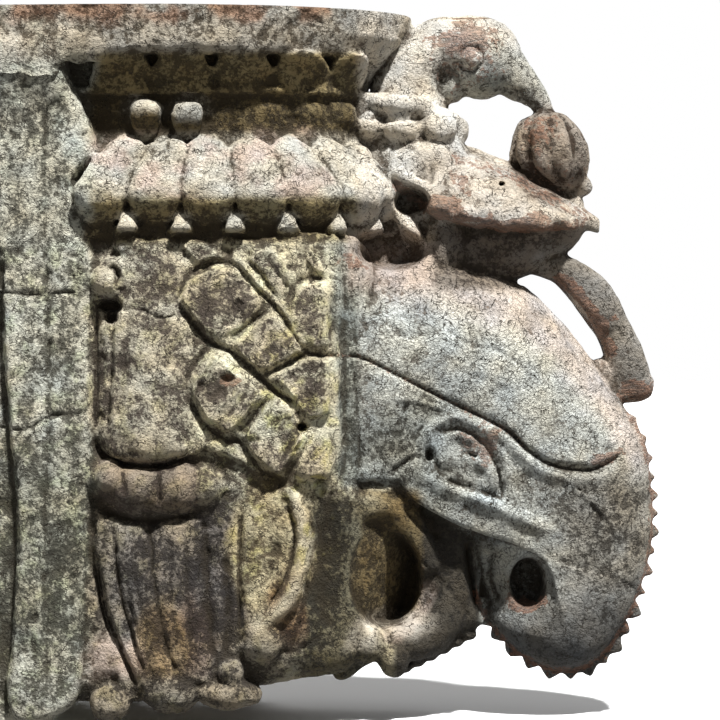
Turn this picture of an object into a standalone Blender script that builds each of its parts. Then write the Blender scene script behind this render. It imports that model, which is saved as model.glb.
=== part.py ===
# Carved wooden corbel: one timber, a stile with a lotus capital, an elephant head and a bird.
# The frame has its origin at the middle of the wall face, +X out from the wall and +Z up.
# Both sides are carved alike, so every form is laid out on the -Y side and repeated at +Y.

import math

import bmesh
import bpy
import numpy as np
from mathutils import Matrix, Vector

# One step of the layout grid, in metres. All sizes below are in steps of it.
STEP = 0.0007
# The layout is drawn as an eye sees it from this far, so forms nearer to it are drawn larger.
EYE = 2900.0
MIDDLE = 360.0
WALL_U = -50.0
TOP_V = 20.0
FOOT_V = 712.0
SAW_MARGIN = 60.0
SLAB_DEPTH = 134.0
SLAB_REACH = 412.0
SEAT_END_U = SLAB_REACH + 12.0
PETALS = 6
PETAL_SWELL = 9.0
TAB_PITCH = 41.0
ARCH_PITCH = 61.0
TORSO_DEPTH = 112.0
HARNESS_RAISE = 8.0
THIGH_RAISE = 19.0
SKULL_DEPTH = 104.0
TRUNK_DEPTH = 64.0
TOOTH_PITCH = 19.5
TOOTH_SIZE = 6.5
WING_SPAN = 78.0
HULL_DEPTH = 52.0
BUD_RIBS = 5
# Size of the cells that fuse the forms, in metres, and the number of faces that are kept.
VOXEL = 0.0024
TRIANGLES = 8700


def seen(u, v, depth):
    scale = 1.0 - depth / EYE
    return MIDDLE + (u - MIDDLE) * scale, MIDDLE + (v - MIDDLE) * scale


def place(u, y, v):
    return Vector(((u - WALL_U) * STEP, y * STEP, (MIDDLE - v) * STEP))


def spline(points, steps=6, closed=True):
    # Catmull-Rom curve through a few points
    p = np.array(points, float)
    n = len(p)
    rows = []
    for i in range(n if closed else n - 1):
        if closed:
            a, b, c, d = (p[(i + k) % n] for k in (-1, 0, 1, 2))
        else:
            a, b, c, d = (p[min(max(i + k, 0), n - 1)] for k in (-1, 0, 1, 2))
        for t in np.arange(steps) / steps:
            rows.append(0.5 * (2 * b + (c - a) * t + (2 * a - 5 * b + 4 * c - d) * t ** 2
                               + (3 * b - a - 3 * c + d) * t ** 3))
    if not closed:
        rows.append(p[-1])
    return np.array(rows)


def inside(points, outline):
    u, v = points[:, 0], points[:, 1]
    found = np.zeros(len(points), bool)
    for (u0, v0), (u1, v1) in zip(outline, np.roll(outline, -1, 0)):
        if v0 == v1:
            continue
        crossing = (v0 > v) != (v1 > v)
        found ^= crossing & (u < (u1 - u0) * (v - v0) / (v1 - v0) + u0)
    return found


def toLine(points, line, closed=False):
    # distance of each point from a line, and the nearest place on it
    ends = np.roll(line, -1, 0) if closed else line[1:]
    starts = line if closed else line[:-1]
    best = np.full(len(points), 1e9)
    near = np.zeros((len(points), 2))
    for a, b in zip(starts, ends):
        run = b - a
        length = max(run @ run, 1e-9)
        t = np.clip((points - a) @ run / length, 0, 1)
        foot = a + t[:, None] * run
        gap = np.hypot(points[:, 0] - foot[:, 0], points[:, 1] - foot[:, 1])
        closer = gap < best
        best[closer] = gap[closer]
        near[closer] = foot[closer]
    return best, near


def ramp(x, low, high):
    t = np.clip((x - low) / (high - low), 0, 1)
    return t * t * (3 - 2 * t)


def primitive(make, **settings):
    bm = bmesh.new()
    make(bm, **settings)
    corners = np.array([vert.co for vert in bm.verts])
    faces = [[vert.index for vert in face.verts] for face in bm.faces]
    bm.free()
    return corners, faces


class Clay:
    # gathers rough forms, which are then fused into one skin
    def __init__(self):
        self.corners = []
        self.faces = []
        self.count = 0
        self.ball = primitive(bmesh.ops.create_uvsphere, u_segments=28, v_segments=18, radius=1)
        self.cube = primitive(bmesh.ops.create_cube, size=1)

    def add(self, corners, faces, matrix=None):
        if matrix is not None:
            turn = np.array(matrix)
            corners = corners @ turn[:3, :3].T + turn[:3, 3]
        self.corners.append(np.asarray(corners, float))
        self.faces += [[k + self.count for k in face] for face in faces]
        self.count += len(corners)

    def blob(self, u, v, y, ru, rv, ry, turn=0.0):
        cu, cv = seen(u, v, y)
        for depth in {y, -y}:
            matrix = (Matrix.Translation(place(cu, -depth, cv))
                      @ Matrix.Rotation(math.radians(turn), 4, "Y")
                      @ Matrix.Diagonal((ru * STEP, ry * STEP, rv * STEP, 1)))
            self.add(*self.ball, matrix)

    def box(self, u0, u1, v0, v1, depth):
        centre = place((u0 + u1) / 2, 0, (v0 + v1) / 2)
        size = ((u1 - u0) * STEP, 2 * depth * STEP, (v1 - v0) * STEP, 1)
        self.add(*self.cube, Matrix.Translation(centre) @ Matrix.Diagonal(size))

    def loft(self, rings):
        size = len(rings[0])
        faces = []
        for i in range(len(rings) - 1):
            for k in range(size):
                j = (k + 1) % size
                faces.append([i * size + k, i * size + j, (i + 1) * size + j, (i + 1) * size + k])
        faces.append(list(range(size))[::-1])
        faces.append([(len(rings) - 1) * size + k for k in range(size)])
        self.add(np.array([co for ring in rings for co in ring]), faces)

    def rod(self, path, y, radii, squash=1.0):
        # tapered round bar through (u, v) points, at one depth or at a depth for each point
        depths = y if isinstance(y, (list, tuple)) else [y] * len(path)
        rows = []
        for (u, v), d, r in zip(path, depths, radii):
            cu, cv = seen(u, v, d)
            rows.append((cu, d, cv, r))
        fine = spline(rows, 8, closed=False)
        turns = np.linspace(0, 2 * math.pi, 17)[:-1]
        for side in (1, -1) if any(depths) else (1,):
            centres = np.array([(u, -d * side, v) for u, d, v, r in fine])
            runs = np.gradient(centres, axis=0)
            rings = []
            for centre, run, r in zip(centres, runs, fine[:, 3]):
                run = Vector(run).normalized()
                across = run.cross(Vector((0, 1, 0))).normalized()
                up = run.cross(across)
                rings.append([place(*(Vector(centre) + across * (max(r, 0.5) * math.cos(a))
                                      + up * (max(r, 0.5) * squash * math.sin(a)))) for a in turns])
            self.loft(rings)
            for u, d, v, r in (fine[0], fine[-1]):
                spot = Matrix.Translation(place(u, -d * side, v))
                self.add(*self.ball, spot @ Matrix.Diagonal((r * STEP, r * STEP * squash, r * STEP, 1)))

    def pillow(self, outline, depth, rim, roundOver, base=0.0, grid=3.0, power=2.0):
        # cushioned form over an outline, which swells from its rim to the full depth
        edge = spline(outline, 6)
        edge = MIDDLE + (edge - MIDDLE) * (1.0 - depth / EYE)
        low, high = edge.min(0) - grid, edge.max(0) + grid
        across, down = np.ceil((high - low) / grid).astype(int) + 1
        us = low[0] + grid * np.arange(across)
        vs = low[1] + grid * np.arange(down)
        nodes = np.stack(np.meshgrid(us, vs, indexing="ij"), -1).reshape(-1, 2)
        within = inside(nodes, edge)
        gap, near = toLine(nodes, edge, closed=True)
        i, j = np.meshgrid(np.arange(across - 1), np.arange(down - 1), indexing="ij")
        first = (i * down + j).ravel()
        cells = np.stack([first, first + down, first + down + 1, first + 1], 1)
        cells = cells[within[cells].all(1)]
        used, cells = np.unique(cells, return_inverse=True)
        cells = cells.reshape(-1, 4)
        flat, gap = nodes[used], gap[used]
        sides = np.concatenate([cells[:, [k, (k + 1) % 4]] for k in range(4)])
        _, lead, times = np.unique(np.sort(sides, axis=1), axis=0, return_index=True, return_counts=True)
        border = sides[lead[times == 1]]
        onBorder = np.unique(border)
        flat[onBorder] = near[used][onBorder]
        gap[onBorder] = 0
        share = np.clip(gap / roundOver, 0, 1)
        height = rim + (depth - rim) * (1 - (1 - share) ** power) ** (1 / power)
        count = len(flat)
        faces = cells[:, ::-1].tolist() + (cells + count).tolist()
        faces += [[a, b, b + count, a + count] for a, b in border.tolist()]
        shells = [(height, -height)]
        if base:
            shells = [(height, np.full(count, base)), (-height, np.full(count, -base))]
        for front, back in shells:
            layers = []
            for rows in (front, back):
                layers.append(np.stack([(flat[:, 0] - WALL_U) * STEP, -rows * STEP,
                                        (MIDDLE - flat[:, 1]) * STEP], 1))
            self.add(np.concatenate(layers), faces)

    def relief(self, outline, heightAt, base=0.0, grid=3.0, steps=6):
        # form over an outline whose height follows a function of (u, v), with an upright edge
        edge = spline(outline, steps)
        low, high = edge.min(0) - grid, edge.max(0) + grid
        across, down = np.ceil((high - low) / grid).astype(int) + 1
        us = low[0] + grid * np.arange(across)
        vs = low[1] + grid * np.arange(down)
        nodes = np.stack(np.meshgrid(us, vs, indexing="ij"), -1).reshape(-1, 2)
        within = inside(nodes, edge)
        near = toLine(nodes, edge, closed=True)[1]
        i, j = np.meshgrid(np.arange(across - 1), np.arange(down - 1), indexing="ij")
        first = (i * down + j).ravel()
        cells = np.stack([first, first + down, first + down + 1, first + 1], 1)
        cells = cells[within[cells].all(1)]
        used, cells = np.unique(cells, return_inverse=True)
        cells = cells.reshape(-1, 4)
        flat = nodes[used]
        sides = np.concatenate([cells[:, [k, (k + 1) % 4]] for k in range(4)])
        _, lead, times = np.unique(np.sort(sides, axis=1), axis=0, return_index=True, return_counts=True)
        border = sides[lead[times == 1]]
        onBorder = np.unique(border)
        flat[onBorder] = near[used][onBorder]
        height = heightAt(flat[:, 0], flat[:, 1])
        scale = 1 - height / EYE
        scale = scale[:, None]
        count = len(flat)
        faces = cells[:, ::-1].tolist() + (cells + count).tolist()
        faces += [[a, b, b + count, a + count] for a, b in border.tolist()]
        placed = MIDDLE + (flat - MIDDLE) * scale
        for side in (1, -1):
            layers = []
            for rows in (height * side, np.full(count, float(base * side))):
                layers.append(np.stack([(placed[:, 0] - WALL_U) * STEP, -rows * STEP,
                                        (MIDDLE - placed[:, 1]) * STEP], 1))
            self.add(np.concatenate(layers), faces)

    def tray(self, plan, v0, v1, lip=0.0):
        full = [(u, -y) for u, y in plan] + [(u, y) for u, y in plan[::-1][1:]]
        layers = [(v0, 0.0), (v1, 0.0)]
        if lip:
            layers = [(v0, lip), (v0 + lip * 0.3, lip * 0.3), (v0 + lip, 0.0)]
            layers += [(v1 - lip, 0.0), (v1 - lip * 0.3, lip * 0.3), (v1, lip)]
        reach = plan[-1][0]
        deep = max(y for _, y in plan)
        rings = []
        for v, shrink in layers:
            rings.append([place(u * (1 - shrink / reach), y * (1 - shrink / deep), v) for u, y in full])
        self.loft(rings)


def planLine(reach, depth, back=50.0, start=215.0, power=2.5, count=40, backDepth=None):
    # plan of a moulding: beside the stile it is nearly straight, and its front is rounded
    rows = []
    if backDepth is not None:
        for k in range(8):
            t = k / 8
            grow = math.sin(0.5 * math.pi * t)
            rows.append((back + (start - back) * t, backDepth + (depth - backDepth) * grow))
    else:
        rows.append((back, depth))
    for k in range(count + 1):
        t = 0.5 * math.pi * k / count
        rows.append((start + (reach - start) * math.sin(t) ** (2 / power),
                     depth * math.cos(t) ** (2 / power)))
    return rows


class Ring:
    # a moulding's plan, on which ornament is placed by its length from u = 208
    def __init__(self, reach, depth):
        self.line = np.array(planLine(reach, depth, back=0.0))
        runs = np.hypot(*np.diff(self.line, axis=0).T)
        self.total = np.concatenate([[0], np.cumsum(runs)]) - 208.0

    def at(self, along):
        along = min(along, self.total[-1])
        k = int(min(max(np.searchsorted(self.total, along) - 1, 0), len(self.total) - 2))
        run = self.line[k + 1] - self.line[k]
        t = (along - self.total[k]) / max(self.total[k + 1] - self.total[k], 1e-6)
        point = self.line[k] + run * t
        run = run / max(np.hypot(*run), 1e-6)
        return point, np.array([-run[1], run[0]])


def petal(clay, k, rows, centre=0.0, back=16.0, square=2.0):
    # one lotus petal. A row is (v, reach, depth, pitch, share of the pitch, swell), as the eye sees it
    spans = np.linspace(-1, 1, 15)
    rings = []
    for v, reach, depth, pitch, share, swell in rows:
        ring = Ring(reach, depth)
        half = 0.5 * pitch * share
        outer, inner = [], []
        for s in spans:
            u, low = seen(208.0 + centre + pitch * k + s * half, v, depth)
            point, out = ring.at(u - 208.0)
            outer.append((point + out * swell * max(1 - 0.85 * abs(s) ** square, 0.0) ** 0.6, low))
            inner.append((point - out * back, low))
        rings.append(outer + inner[::-1])
    for side in (1, -1):
        clay.loft([[place(point[0], -point[1] * side, v) for point, v in ring] for ring in rings])


# ---- the stile and the capital


def addStile(clay):
    clay.box(WALL_U - 12, 62, TOP_V - 8, FOOT_V, 101)
    edge = [(-6, 0), (60, 2), (64, 60), (72, 84), (96, 146), (72, 186), (93, 250), (90, 360)]
    edge += [(94, 450), (90, 514), (84, 620), (80, 690), (54, 718), (8, 712), (14, 600), (14, 500)]
    edge += [(6, 400), (0, 300)]
    clay.pillow(edge, 117, 108, 10, base=60, grid=2.5)
    clay.box(-62, 10, 12, 296, 112)
    clay.box(-62, 10, 612, 700, 109)


def addCapital(clay):
    reach, depth = SLAB_REACH, SLAB_DEPTH
    rings = []
    for v, far, deep in ((10, reach - 7, depth - 6), (13, reach - 1, depth - 1), (22, reach, depth - 1),
                         (44, reach - 6, depth),
                         (58, reach - 20, depth), (62, reach - 24, depth - 2), (65, reach - 32,
                                                                                depth - 8)):
        plan = planLine(far, deep, back=-62.0, start=150.0, power=2.15, backDepth=min(117.0, deep - 12))
        full = [(u, -y) for u, y in plan] + [(u, y) for u, y in plan[::-1][1:]]
        rings.append([place(u, y, v) for u, y in full])
    clay.loft(rings)
    for v0, v1, reach, depth, lip in ((40, 262, 350, 90, 0), (58, 76, 356, 93, 0), (92, 140, 362, 96, 0),
                                      (96, 102, 366, 101, 2), (128, 150, 370, 100, 3), (150, 236, 380,
                                                                                        108, 6),
                                      (231, 241, 384, 112, 3), (236, 262, 372, 106, 0)):
        clay.tray(planLine(reach, depth), v0, v1, lip)
    pitch = ARCH_PITCH
    for k in range(-2, 5):
        rows = [(49, 376, 116, pitch, 0.30, 10), (53, 374, 112, pitch, 0.62, 12),
                (59, 370, 107, pitch, 0.82, 12),
                (66, 366, 102, pitch, 0.93, 10), (76, 362, 97, pitch, 0.98, 7), (86, 360, 95, pitch, 1.0,
                                                                                 5),
                (94, 358, 94, pitch, 1.0, 4)]
        petal(clay, k, rows, centre=35, square=2.4)
    pitch = TAB_PITCH
    for k in range(-3, 6):
        proud = 4 if k < 0 else -5  # the two tabs nearest the stile stand out further
        rows = [(101, 366, 98 + proud, pitch, 0.55, 4), (104, 370, 101 + proud, pitch, 0.70, 10),
                (110, 371, 103 + proud, pitch, 0.76, 12),
                (118, 371, 103 + proud, pitch, 0.74, 11), (126, 370, 101, pitch, 0.66, 9), (136, 366, 99,
                                                                                            pitch, 0.5, 4),
                (143, 364, 97, pitch, 0.4, 1)]
        petal(clay, k, rows, centre=-21, square=4)
    swell = PETAL_SWELL
    for k in range(-2, PETALS):
        rows = [(134, 362, 96, 41, 0.10, 1), (139, 364, 99, 41, 0.46, 6),
                (146, 368, 103, 42, 0.80, swell * 0.9), (154, 374, 108, 44, 0.98, swell),
                (172, 386, 117, 49, 1.0, swell), (184, 395, 123, 53, 1.0, swell), (190, 397, 125, 54,
                                                                                   1.0, swell),
                (196, 396, 124, 54, 0.97, swell), (206, 390, 118, 54, 0.86, swell), (216, 382, 111, 54,
                                                                                     0.66, swell * 0.8),
                (226, 372, 105, 54, 0.38, 3), (231, 366, 101, 54, 0.2, 0)]
        petal(clay, k, rows, square=2.6)


# ---- the body between the stile and the head
harnessPlates = [
    [(178, 244), (196, 238), (216, 246), (238, 260), (212, 262), (196, 266)],
    [(177, 300), (189, 277), (212, 265), (238, 267), (266, 306), (228, 338), (206, 335)],
    [(231, 342), (268, 311), (280, 314), (306, 350), (264, 374), (240, 360)],
    [(268, 376), (308, 355), (331, 358), (331, 416), (304, 420), (284, 390)],
    [(246, 258), (256, 248), (274, 246), (294, 274), (283, 300), (262, 282)],
    [(288, 302), (302, 280), (329, 282), (330, 350), (310, 350), (288, 314)],
    [(303, 242), (314, 248), (331, 276), (318, 276), (304, 262)],
    [(210, 348), (188, 378), (190, 398), (204, 420), (230, 436), (266, 394), (246, 376)],
    [(274, 396), (240, 436), (250, 456), (280, 480), (308, 436), (290, 404)],
    [(313, 428), (331, 426), (333, 480), (296, 482), (292, 470)],
]


def bodyHeight(u, v):
    # swelling belly of the animal, fullest at the harness
    bulge = 1 - ((u - 250) / 118) ** 2 - ((v - 360) / 150) ** 2
    return 108.0 + 16.0 * np.clip(bulge, 0, 1) ** 0.7


def thighHeight(u, v):
    across = np.interp(u, [92, 98, 104, 114, 130, 152, 176, 200, 222],
                       [-14, -5, 2, 11, 17, 19, 17, 10, 2])
    down = np.interp(v, [238, 262, 320, 380, 430, 448, 458, 466],
                     [0.1, 0.45, 0.75, 0.95, 1.0, 0.92, 0.7, 0.4])
    return TORSO_DEPTH + across * down * THIGH_RAISE / 19


def addBody(clay):
    torso = [(60, 240), (200, 232), (356, 236), (372, 330), (360, 470), (372, 560), (360, 662),
             (300, 682)]
    torso += [(240, 692), (170, 702), (110, 704), (64, 696), (56, 620)]
    clay.pillow(torso, TORSO_DEPTH, 84, 60, grid=4)
    belly = [(150, 242), (250, 240), (334, 242), (338, 360), (336, 486), (290, 486), (240, 462),
             (196, 440), (160, 380)]
    clay.relief(belly, bodyHeight, base=80, grid=3)
    # the scroll, the thigh, the strip beside it, the armlet and the fluted lower leg
    clay.blob(109, 284, 108, 17, 21, 21)
    clay.blob(108, 300, 102, 12, 20, 15)
    clay.rod([(112, 268), (97, 280), (95, 302)], 108, [9, 8, 4])
    clay.pillow([(116, 238), (144, 237), (146, 254), (132, 262), (116, 254)], 120, 112, 8, base=80,
                grid=2.2)
    clay.rod([(124, 264), (140, 254), (160, 246), (178, 246)], 108, [8, 9, 9, 7])
    clay.rod([(104, 330), (103, 380), (101, 430)], 106, [5, 6, 5])
    clay.rod([(124, 300), (119, 350), (111, 410)], 110, [4, 6, 5])
    thigh = [(100, 320), (108, 282), (140, 248), (200, 246), (222, 320), (214, 400), (204, 446),
             (186, 456)]
    thigh += [(160, 463), (128, 462), (104, 448), (95, 426)]
    clay.relief(thigh, thighHeight, base=80, grid=2.6)
    clay.rod([(100, 480), (128, 487), (160, 490), (206, 486)], 106, [17, 25, 26, 20])
    for u, v, ru, rv in ((110, 479, 17, 20), (140, 488, 22, 30), (179, 487, 26, 27)):
        clay.blob(u, v, 106, ru, rv, 27)
    shin = [(98, 512), (150, 520), (200, 512), (208, 600), (216, 690), (150, 702), (118, 640), (100, 580)]
    clay.pillow(shin, 121, 100, 34, base=80)
    for u, v, r in ((107, 566, 11), (136, 600, 16), (170, 610, 15)):
        clay.rod([(u, 524), (u + 3, v), (u + 30 - 0.1 * u, 694)], 110, [r - 2, r, r - 5])
    for u, v, ru, rv in ((172, 692, 27, 22), (230, 694, 32, 16), (231, 672, 14, 14), (110, 703, 20, 19)):
        clay.blob(u, v, 104, ru, rv, 24)
    clay.rod([(98, 660), (120, 650), (138, 690)], 98, [8, 16, 12])
    # the leaf-shaped ear and its rolled rim
    ear = [(286, 482), (306, 512), (312, 545), (306, 578), (286, 618), (278, 652), (256, 664),
           (240, 640), (241, 570)]
    ear += [(242, 520), (262, 496)]
    clay.pillow(ear, 120, 110, 26, base=80, grid=2.6)
    clay.rod([(288, 492), (303, 520), (306, 545), (300, 574), (282, 606), (262, 626)], 119,
             [4, 7, 8, 8, 8, 5])
    clay.blob(262, 640, 108, 20, 22, 17)
    # harness plates
    for outline in harnessPlates:
        centre = np.mean(outline, axis=0)
        top = float(bodyHeight(centre[0], centre[1])) + HARNESS_RAISE
        points = np.array(outline, float)
        rounded = []
        for a, b in zip(points, np.roll(points, -1, 0)):
            rounded += [a * 0.88 + b * 0.12, a * 0.5 + b * 0.5, a * 0.12 + b * 0.88]
        clay.pillow(rounded, top, top - 10, 9, base=80, grid=2.2)
    clay.rod([(236, 260), (258, 284), (282, 308), (302, 344)], 122, [4, 5, 5, 4])
    clay.rod([(334, 240), (335, 360), (334, 486)], 106, [5, 6, 5])


# ---- the elephant's head, trunk and lower jaw
crest = [(326, 244), (430, 246), (515, 281), (557, 317), (600, 370), (631, 420)]
trunkEdge = [(628, 414), (644, 446), (652, 490), (650, 548), (634, 605), (603, 655), (566, 671),
             (527, 659)]
trunkEdge += [(493, 628), (474, 592)]
browLine = [(322, 356), (359, 357), (407, 380), (449, 401), (505, 429), (528, 450), (553, 465),
            (590, 470), (622, 455)]
lipLine = [(351, 479), (397, 482), (407, 495), (428, 510), (454, 523), (479, 533), (505, 541),
           (526, 551), (544, 562)]


def headHeight(u, v):
    # full at the cheek and thinner towards the trunk, rounded down to the crest
    line = spline(crest + trunkEdge, 6, closed=False)
    away = toLine(np.stack([u, v], 1), line)[0]
    along = np.clip(((u - 420) * 0.6 + (v - 360) * 0.8) / 260, 0, 1)
    full = SKULL_DEPTH + (TRUNK_DEPTH - SKULL_DEPTH) * along
    far = 128 - 62 * along
    rim = 16 + 12 * along
    share = np.clip(away / far, 0, 1)
    return rim + (full - rim) * (1 - (1 - share) ** 2.1) ** (1 / 2.1)


def trunkHeight(u, v):
    # the curled tip lies lower than the lip above it
    return np.maximum(headHeight(u, v) - 13 * ramp(-u, -566, -540) * ramp(-v, -640, -590), 14)


def addHead(clay):
    skull = crest + [(646, 446), (652, 490), (650, 548), (634, 605), (600, 648), (568, 640), (560, 606),
                     (553, 580)]
    skull += lipLine[::-1] + [(326, 470)]
    clay.relief(skull, headHeight, grid=3.2, steps=4)
    clay.box(326, 420, 300, 470, 78)
    disc = trunkEdge + [(468, 548), (490, 530), (540, 520), (600, 470)]
    clay.relief(disc, trunkHeight, grid=3.2, steps=4)
    rim = spline(trunkEdge, 12, closed=False)
    runs = np.concatenate([[0], np.cumsum(np.hypot(*np.diff(rim, axis=0).T))])
    for k in range(int(runs[-1] / TOOTH_PITCH) + 1):
        along = 6 + TOOTH_PITCH * k + 2.5 * math.sin(7.0 * k)
        u = np.interp(along, runs, rim[:, 0])
        v = np.interp(along, runs, rim[:, 1])
        ahead = np.array([np.interp(along + 4, runs, rim[:, 0]) - u,
                          np.interp(along + 4, runs, rim[:, 1]) - v])
        turn = math.degrees(math.atan2(ahead[1], ahead[0]))
        size = TOOTH_SIZE * (1 + 0.22 * math.sin(3.3 * k))
        tooth = Matrix.Translation(place(u, 0, v)) @ Matrix.Rotation(math.radians(turn + 45), 4, "Y")
        clay.add(*clay.cube, tooth @ Matrix.Diagonal((size * 1.9 * STEP, 58 * STEP, size * 1.9 * STEP,
                                                      1)))
    # the lower jaw and its curled lip, under the overhanging upper lip
    jaw = [(330, 470), (396, 474), (440, 500), (478, 530), (480, 600), (484, 624), (440, 654), (410, 668)]
    jaw += [(376, 664), (330, 672)]
    clay.pillow(jaw, 56, 36, 30, grid=3)
    lips = [(446, 530), (450, 566), (447, 600), (433, 628), (408, 642), (384, 642), (368, 644)]
    clay.rod(lips, [40, 46, 52, 62, 70, 74, 78], [22, 28, 29, 25, 20, 17, 15])
    clay.rod([(350, 508), (358, 490), (376, 486), (392, 500), (404, 530), (420, 556)],
             [74, 76, 76, 70, 62, 58], [9, 12, 13, 12, 12, 10])
    clay.blob(368, 643, 82, 16, 21, 18)
    clay.blob(393, 657, 78, 17, 20, 18)
    for k in range(7):
        clay.blob(404 + 13 * k, 667 - 6.5 * k, 44 - 3 * k, 8, 6, 26)


# ---- the bird, its bud and the strut


def addBird(clay):
    clay.box(330, 396, 96, 250, 40)
    clay.rod([(410, 142), (409, 100), (417, 70), (440, 50), (470, 50)], 0, [42, 40, 35, 33, 34],
             squash=1.25)
    clay.blob(480, 58, 0, 43, 41, 35, turn=28)
    clay.blob(450, 84, 0, 18, 20, 26)
    clay.rod([(494, 62), (518, 82), (536, 98), (546, 114)], 0, [29, 21, 13, 9])
    clay.blob(471, 57, 27, 9, 9, 10)
    clay.blob(400, 104, 0, 38, 10, 56, turn=4)
    for u, v, ru, rv, d in ((370, 130, 18, 15, 34), (401, 130, 21, 17, 42), (436, 130, 20, 15, 38),
                            (458, 130, 12, 14, 8)):
        clay.blob(u, v, d, ru, rv, 18)
    hull = [(362, 150), (380, 122), (450, 120), (472, 148), (515, 167), (560, 194), (588, 214),
            (578, 244)]
    hull += [(532, 273), (470, 293), (432, 288), (420, 250), (384, 216), (362, 190)]
    clay.pillow(hull, HULL_DEPTH, 14, 44, grid=3)
    clay.blob(420, 168, 0, 56, 38, 62)
    # the wings: a roof from the back's ridge down to a scalloped lip
    us = [396, 412, 430, 452, 480, 510, 540, 566, 586, 600]
    ridge = [150, 140, 138, 140, 150, 162, 181, 197, 209, 219]
    lips = [178, 184, 206, 214, 217, 220, 222, 220, 220, 222]
    wide = [0.5, 0.74, 0.88, 0.97, 1.0, 0.97, 0.86, 0.7, 0.4, 0.06]
    rings = []
    for s in np.linspace(0, 1, 46):
        at = np.interp(s * (len(us) - 1), range(len(us)), us)
        top = np.interp(s * (len(us) - 1), range(len(us)), ridge)
        wave = abs(math.sin((at - 424) * math.pi / 33))
        low = np.interp(s * (len(us) - 1), range(len(us)), lips) + 3.5 * wave
        half = np.interp(s * (len(us) - 1), range(len(us)), wide) * WING_SPAN
        half += 2.5 * wave * min(1.0, half / 20)
        profile = [(0.0, top)]
        for t in (0.25, 0.5, 0.75, 0.92, 1.0):
            profile.append((half * math.sin(0.5 * math.pi * t) ** 0.9, top + (low - top) * (t ** 1.5)))
        profile += [(half * 0.97, low + 5), (half * 0.8, low + 8), (0.0, low + 10)]
        ring = [place(*flatPoint(at, -y, v)) for y, v in profile]
        ring += [place(*flatPoint(at, y, v)) for y, v in profile[-2:0:-1]]
        rings.append(ring)
    clay.loft(rings)
    for u, v, ru, rv, d in ((441, 207, 13, 11, 68), (468, 216, 14, 9, 72), (494, 216, 14, 8, 72),
                            (524, 222, 17, 8, 62), (552, 217, 15, 7, 48)):
        clay.blob(u, v, d, ru, rv, 9)
    clay.rod([(396, 172), (410, 180), (428, 190), (440, 204)], [52, 58, 64, 68], [7, 7, 8, 9])
    clay.blob(384, 200, 44, 15, 22, 18)
    clay.rod([(402, 214), (414, 240), (434, 278)], [44, 50, 56], [10, 10, 12])
    clay.rod([(446, 238), (446, 262), (450, 286)], 44, [20, 18, 13])
    clay.blob(448, 284, 50, 24, 12, 20)
    clay.blob(416, 306, 78, 30, 15, 16)
    # the bud in the beak, ribbed from end to end
    clay.blob(549, 152, 0, 29, 38, 29, turn=-18)
    for k in range(BUD_RIBS):
        a = math.pi * (k - 2) / BUD_RIBS
        for way in (1, -1):
            side, out = way * math.cos(a), math.sin(a)
            ribs = [(546, 114), (546 + 20 * side, 124), (548 + 30 * side, 142), (551 + 31 * side, 162)]
            ribs += [(562 + 18 * side, 180), (570, 188)]
            clay.rod(ribs, [4 * out, 20 * out, 30 * out, 31 * out, 18 * out, 6 * out], [3, 6, 7, 7, 5, 3])
    clay.rod([(562, 174), (582, 186)], 0, [13, 10])
    clay.rod([(560, 184), (576, 204)], 0, [8, 8])
    # the strut from the bird to the trunk, with a plain stepped end
    strut = [(530, 260), (566, 268), (594, 289), (614, 318), (628, 350), (634, 376)]
    for across in (0, 12):
        clay.rod(strut, across, [12, 14, 17, 18, 19, 17])
    clay.rod([(602, 372), (616, 388), (640, 386)], 9, [14, 13, 15])


def flatPoint(u, y, v):
    cu, cv = seen(u, v, abs(y))
    return cu, y, cv


def fused(clay, voxel):
    mesh = bpy.data.meshes.new("forms")
    mesh.from_pydata(np.concatenate(clay.corners), [], clay.faces)
    item = bpy.data.objects.new("forms", mesh)
    bpy.context.scene.collection.objects.link(item)
    remesh = item.modifiers.new("Fuse", "REMESH")
    remesh.mode = "VOXEL"
    remesh.voxel_size = voxel
    bpy.context.view_layer.update()
    graph = bpy.context.evaluated_depsgraph_get()
    skin = bpy.data.meshes.new_from_object(item.evaluated_get(graph))
    bpy.data.objects.remove(item)
    bpy.data.meshes.remove(mesh)
    return skin


def grooveShape(points, line, width, deep):
    gap, _ = toLine(points, spline(line, 5, closed=False))
    return deep * np.exp(-((gap / width) ** 2))


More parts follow.
